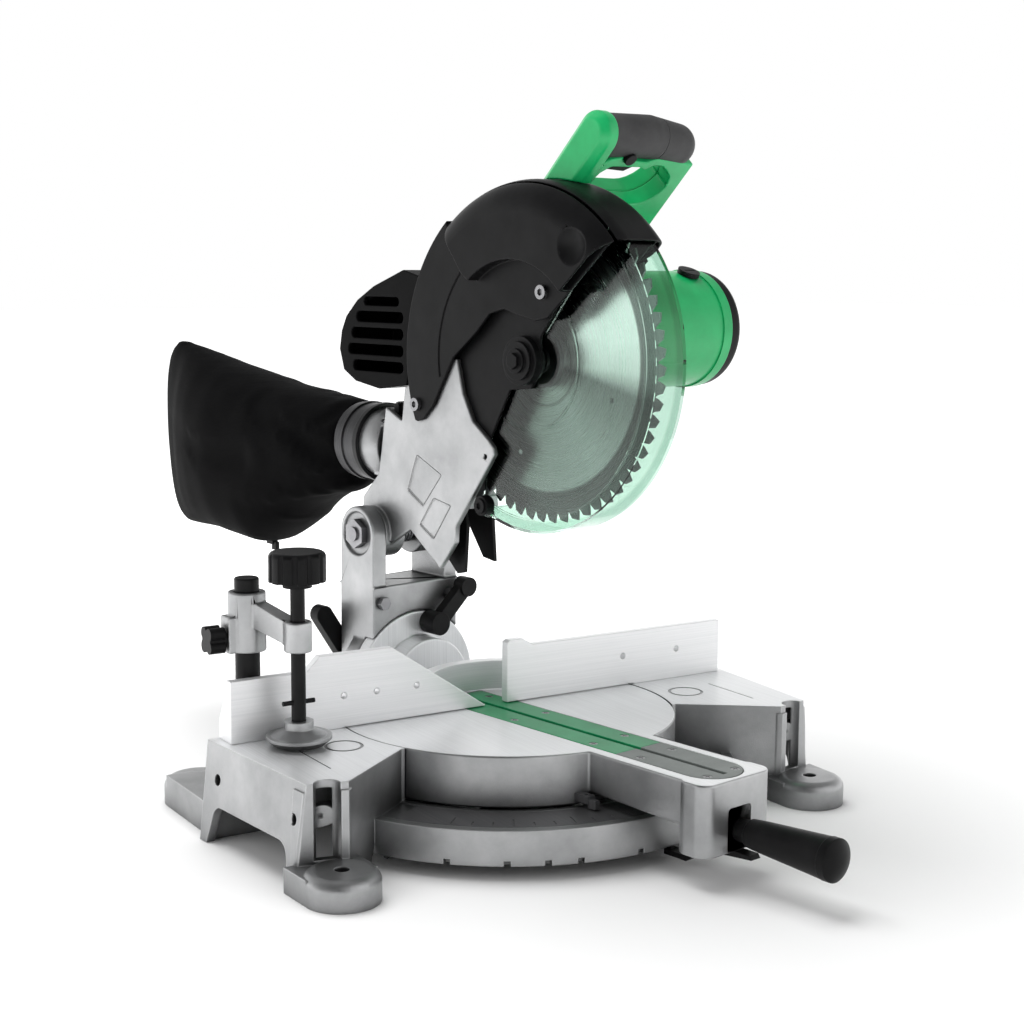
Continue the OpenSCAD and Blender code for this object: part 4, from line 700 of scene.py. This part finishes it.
def add_camera():
    yaw, pitch, roll = (math.radians(a) for a in CAMERA_ANGLES)
    level = math.cos(pitch)
    forward = Vector((math.sin(yaw) * level, math.cos(yaw) * level, math.sin(pitch)))
    right = Vector((math.cos(yaw), -math.sin(yaw), 0.0))
    up = right.cross(forward)
    right2 = right * math.cos(roll) + up * math.sin(roll)
    up2 = up * math.cos(roll) - right * math.sin(roll)
    turn = Matrix((right2, up2, -forward)).transposed().to_4x4()
    data = bpy.data.cameras.new("Camera")
    data.sensor_width = CAMERA_SENSOR
    data.lens = CAMERA_LENS
    data.clip_end = CAMERA_REACH
    camera = bpy.data.objects.new("Camera", data)
    camera.matrix_world = Matrix.Translation(CAMERA_PLACE) @ turn
    bpy.context.scene.collection.objects.link(camera)
    bpy.context.scene.camera = camera


# Studio: pale floor, white surround and soft lights
FLOOR_HALF = 15.0


def add_floor(material):
    w = FLOOR_HALF
    mesh = bpy.data.meshes.new("Floor")
    mesh.from_pydata([(-w, -w, 0), (w, -w, 0), (w, w, 0), (-w, w, 0)], [], [(0, 1, 2, 3)])
    mesh.materials.append(material)
    obj = bpy.data.objects.new("Floor", mesh)
    bpy.context.scene.collection.objects.link(obj)


def area_light(name, place, aim, size, power):
    data = bpy.data.lights.new(name, "AREA")
    data.shape = "RECTANGLE"
    data.size, data.size_y = size
    data.energy = power
    obj = bpy.data.objects.new(name, data)
    obj.location = place
    obj.rotation_euler = (Vector(aim) - Vector(place)).to_track_quat("-Z", "Y").to_euler()
    bpy.context.scene.collection.objects.link(obj)
    return obj


# Surround: a white horizon that dims overhead and behind the camera
SKY_AXIS = (-0.53, -0.84, 0.12)
SKY_STOPS = [(0.0, 1.0), (0.3, 1.0), (0.5, 0.9), (0.65, 0.55), (0.85, 0.22), (1.0, 0.10)]
SKY_RISE = [(0.0, 1.0), (0.15, 0.95), (0.4, 0.5), (0.7, 0.25), (1.0, 0.2)]
SKY_STRENGTH = 1.5


def add_world():
    world = bpy.data.worlds.new("Studio")
    bpy.context.scene.world = world
    world.use_nodes = True
    tree = world.node_tree
    light = tree.nodes["Background"]
    seen = tree.nodes.new("ShaderNodeBackground")
    seen.inputs["Color"].default_value = (1, 1, 1, 1)
    way = tree.nodes.new("ShaderNodeTexCoord")
    dot = tree.nodes.new("ShaderNodeVectorMath")
    dot.operation = "DOT_PRODUCT"
    dot.inputs[1].default_value = Vector(SKY_AXIS).normalized()
    tree.links.new(way.outputs["Generated"], dot.inputs[0])
    half = tree.nodes.new("ShaderNodeMapRange")
    half.inputs["From Min"].default_value = -1.0
    tree.links.new(dot.outputs["Value"], half.inputs["Value"])
    axes = tree.nodes.new("ShaderNodeSeparateXYZ")
    tree.links.new(way.outputs["Generated"], axes.inputs[0])
    both_ways = tree.nodes.new("ShaderNodeMix")
    both_ways.data_type, both_ways.blend_type = "RGBA", "MULTIPLY"
    both_ways.inputs["Factor"].default_value = 1.0
    for fac, stops, socket in (
        (half.outputs["Result"], SKY_STOPS, "A"),
        (axes.outputs["Z"], SKY_RISE, "B"),
    ):
        ramp = tree.nodes.new("ShaderNodeValToRGB")
        elements = ramp.color_ramp.elements
        while len(elements) < len(stops):
            elements.new(0.5)
        for element, (place, value) in zip(elements, stops):
            element.position = place
            element.color = (value, value, value, 1.0)
        tree.links.new(fac, ramp.inputs["Fac"])
        tree.links.new(ramp.outputs["Color"], both_ways.inputs[socket])
    tree.links.new(both_ways.outputs["Result"], light.inputs["Color"])
    light.inputs["Strength"].default_value = SKY_STRENGTH
    rays = tree.nodes.new("ShaderNodeLightPath")
    both = tree.nodes.new("ShaderNodeMixShader")
    tree.links.new(rays.outputs["Is Camera Ray"], both.inputs["Fac"])
    tree.links.new(light.outputs["Background"], both.inputs[1])
    tree.links.new(seen.outputs["Background"], both.inputs[2])
    tree.links.new(both.outputs["Shader"], tree.nodes["World Output"].inputs["Surface"])


# Floor: distances in metres between which its glow grows, and its greatest strength
SWEEP_FROM, SWEEP_TO, SWEEP_GLOW = 0.26, 1.2, 0.9


def studio_floor():
    """Pale floor that turns into the white sweep away from the saw."""
    s = Shader("Studio_Floor")
    s.set(Base_Color=(0.90, 0.90, 0.90, 1.0), Roughness=0.8, Specular_IOR_Level=0.0)
    s.set(Emission_Color=(1, 1, 1, 1))
    away = s.node("ShaderNodeVectorMath", operation="LENGTH")
    s.link(s.place(), away.inputs[0])
    sweep = s.node("ShaderNodeMapRange", interpolation_type="SMOOTHSTEP")
    sweep.inputs["From Min"].default_value = SWEEP_FROM
    sweep.inputs["From Max"].default_value = SWEEP_TO
    sweep.inputs["To Max"].default_value = SWEEP_GLOW
    s.link(away.outputs["Value"], sweep.inputs["Value"])
    s.link(sweep.outputs["Result"], s.principled.inputs["Emission Strength"])
    return s.material


# Soft lights: place, aim, size, watts, and the kinds of ray that do not see them
LIGHTS = {
    "Overhead": ((-0.25, 0.7, 2.2), (0, 0, 0.1), (1.8, 1.8), 48, ("glossy",)),
    "Key": ((-1.9, -0.1, 1.0), (0, 0, 0.25), (2.0, 2.0), 14, ("glossy", "transmission")),
    "Front": ((0.7, -2.0, 1.2), (0, 0, 0.15), (3.0, 2.0), 15, ("transmission",)),
}


def add_studio():
    bpy.context.scene.view_settings.view_transform = "Standard"
    add_world()
    add_floor(studio_floor())
    for name, (place, aim, size, power, unseen) in LIGHTS.items():
        light = area_light(name, place, aim, size, power)
        for ray in unseen:
            setattr(light, "visible_" + ray, False)


add_camera()
add_studio()
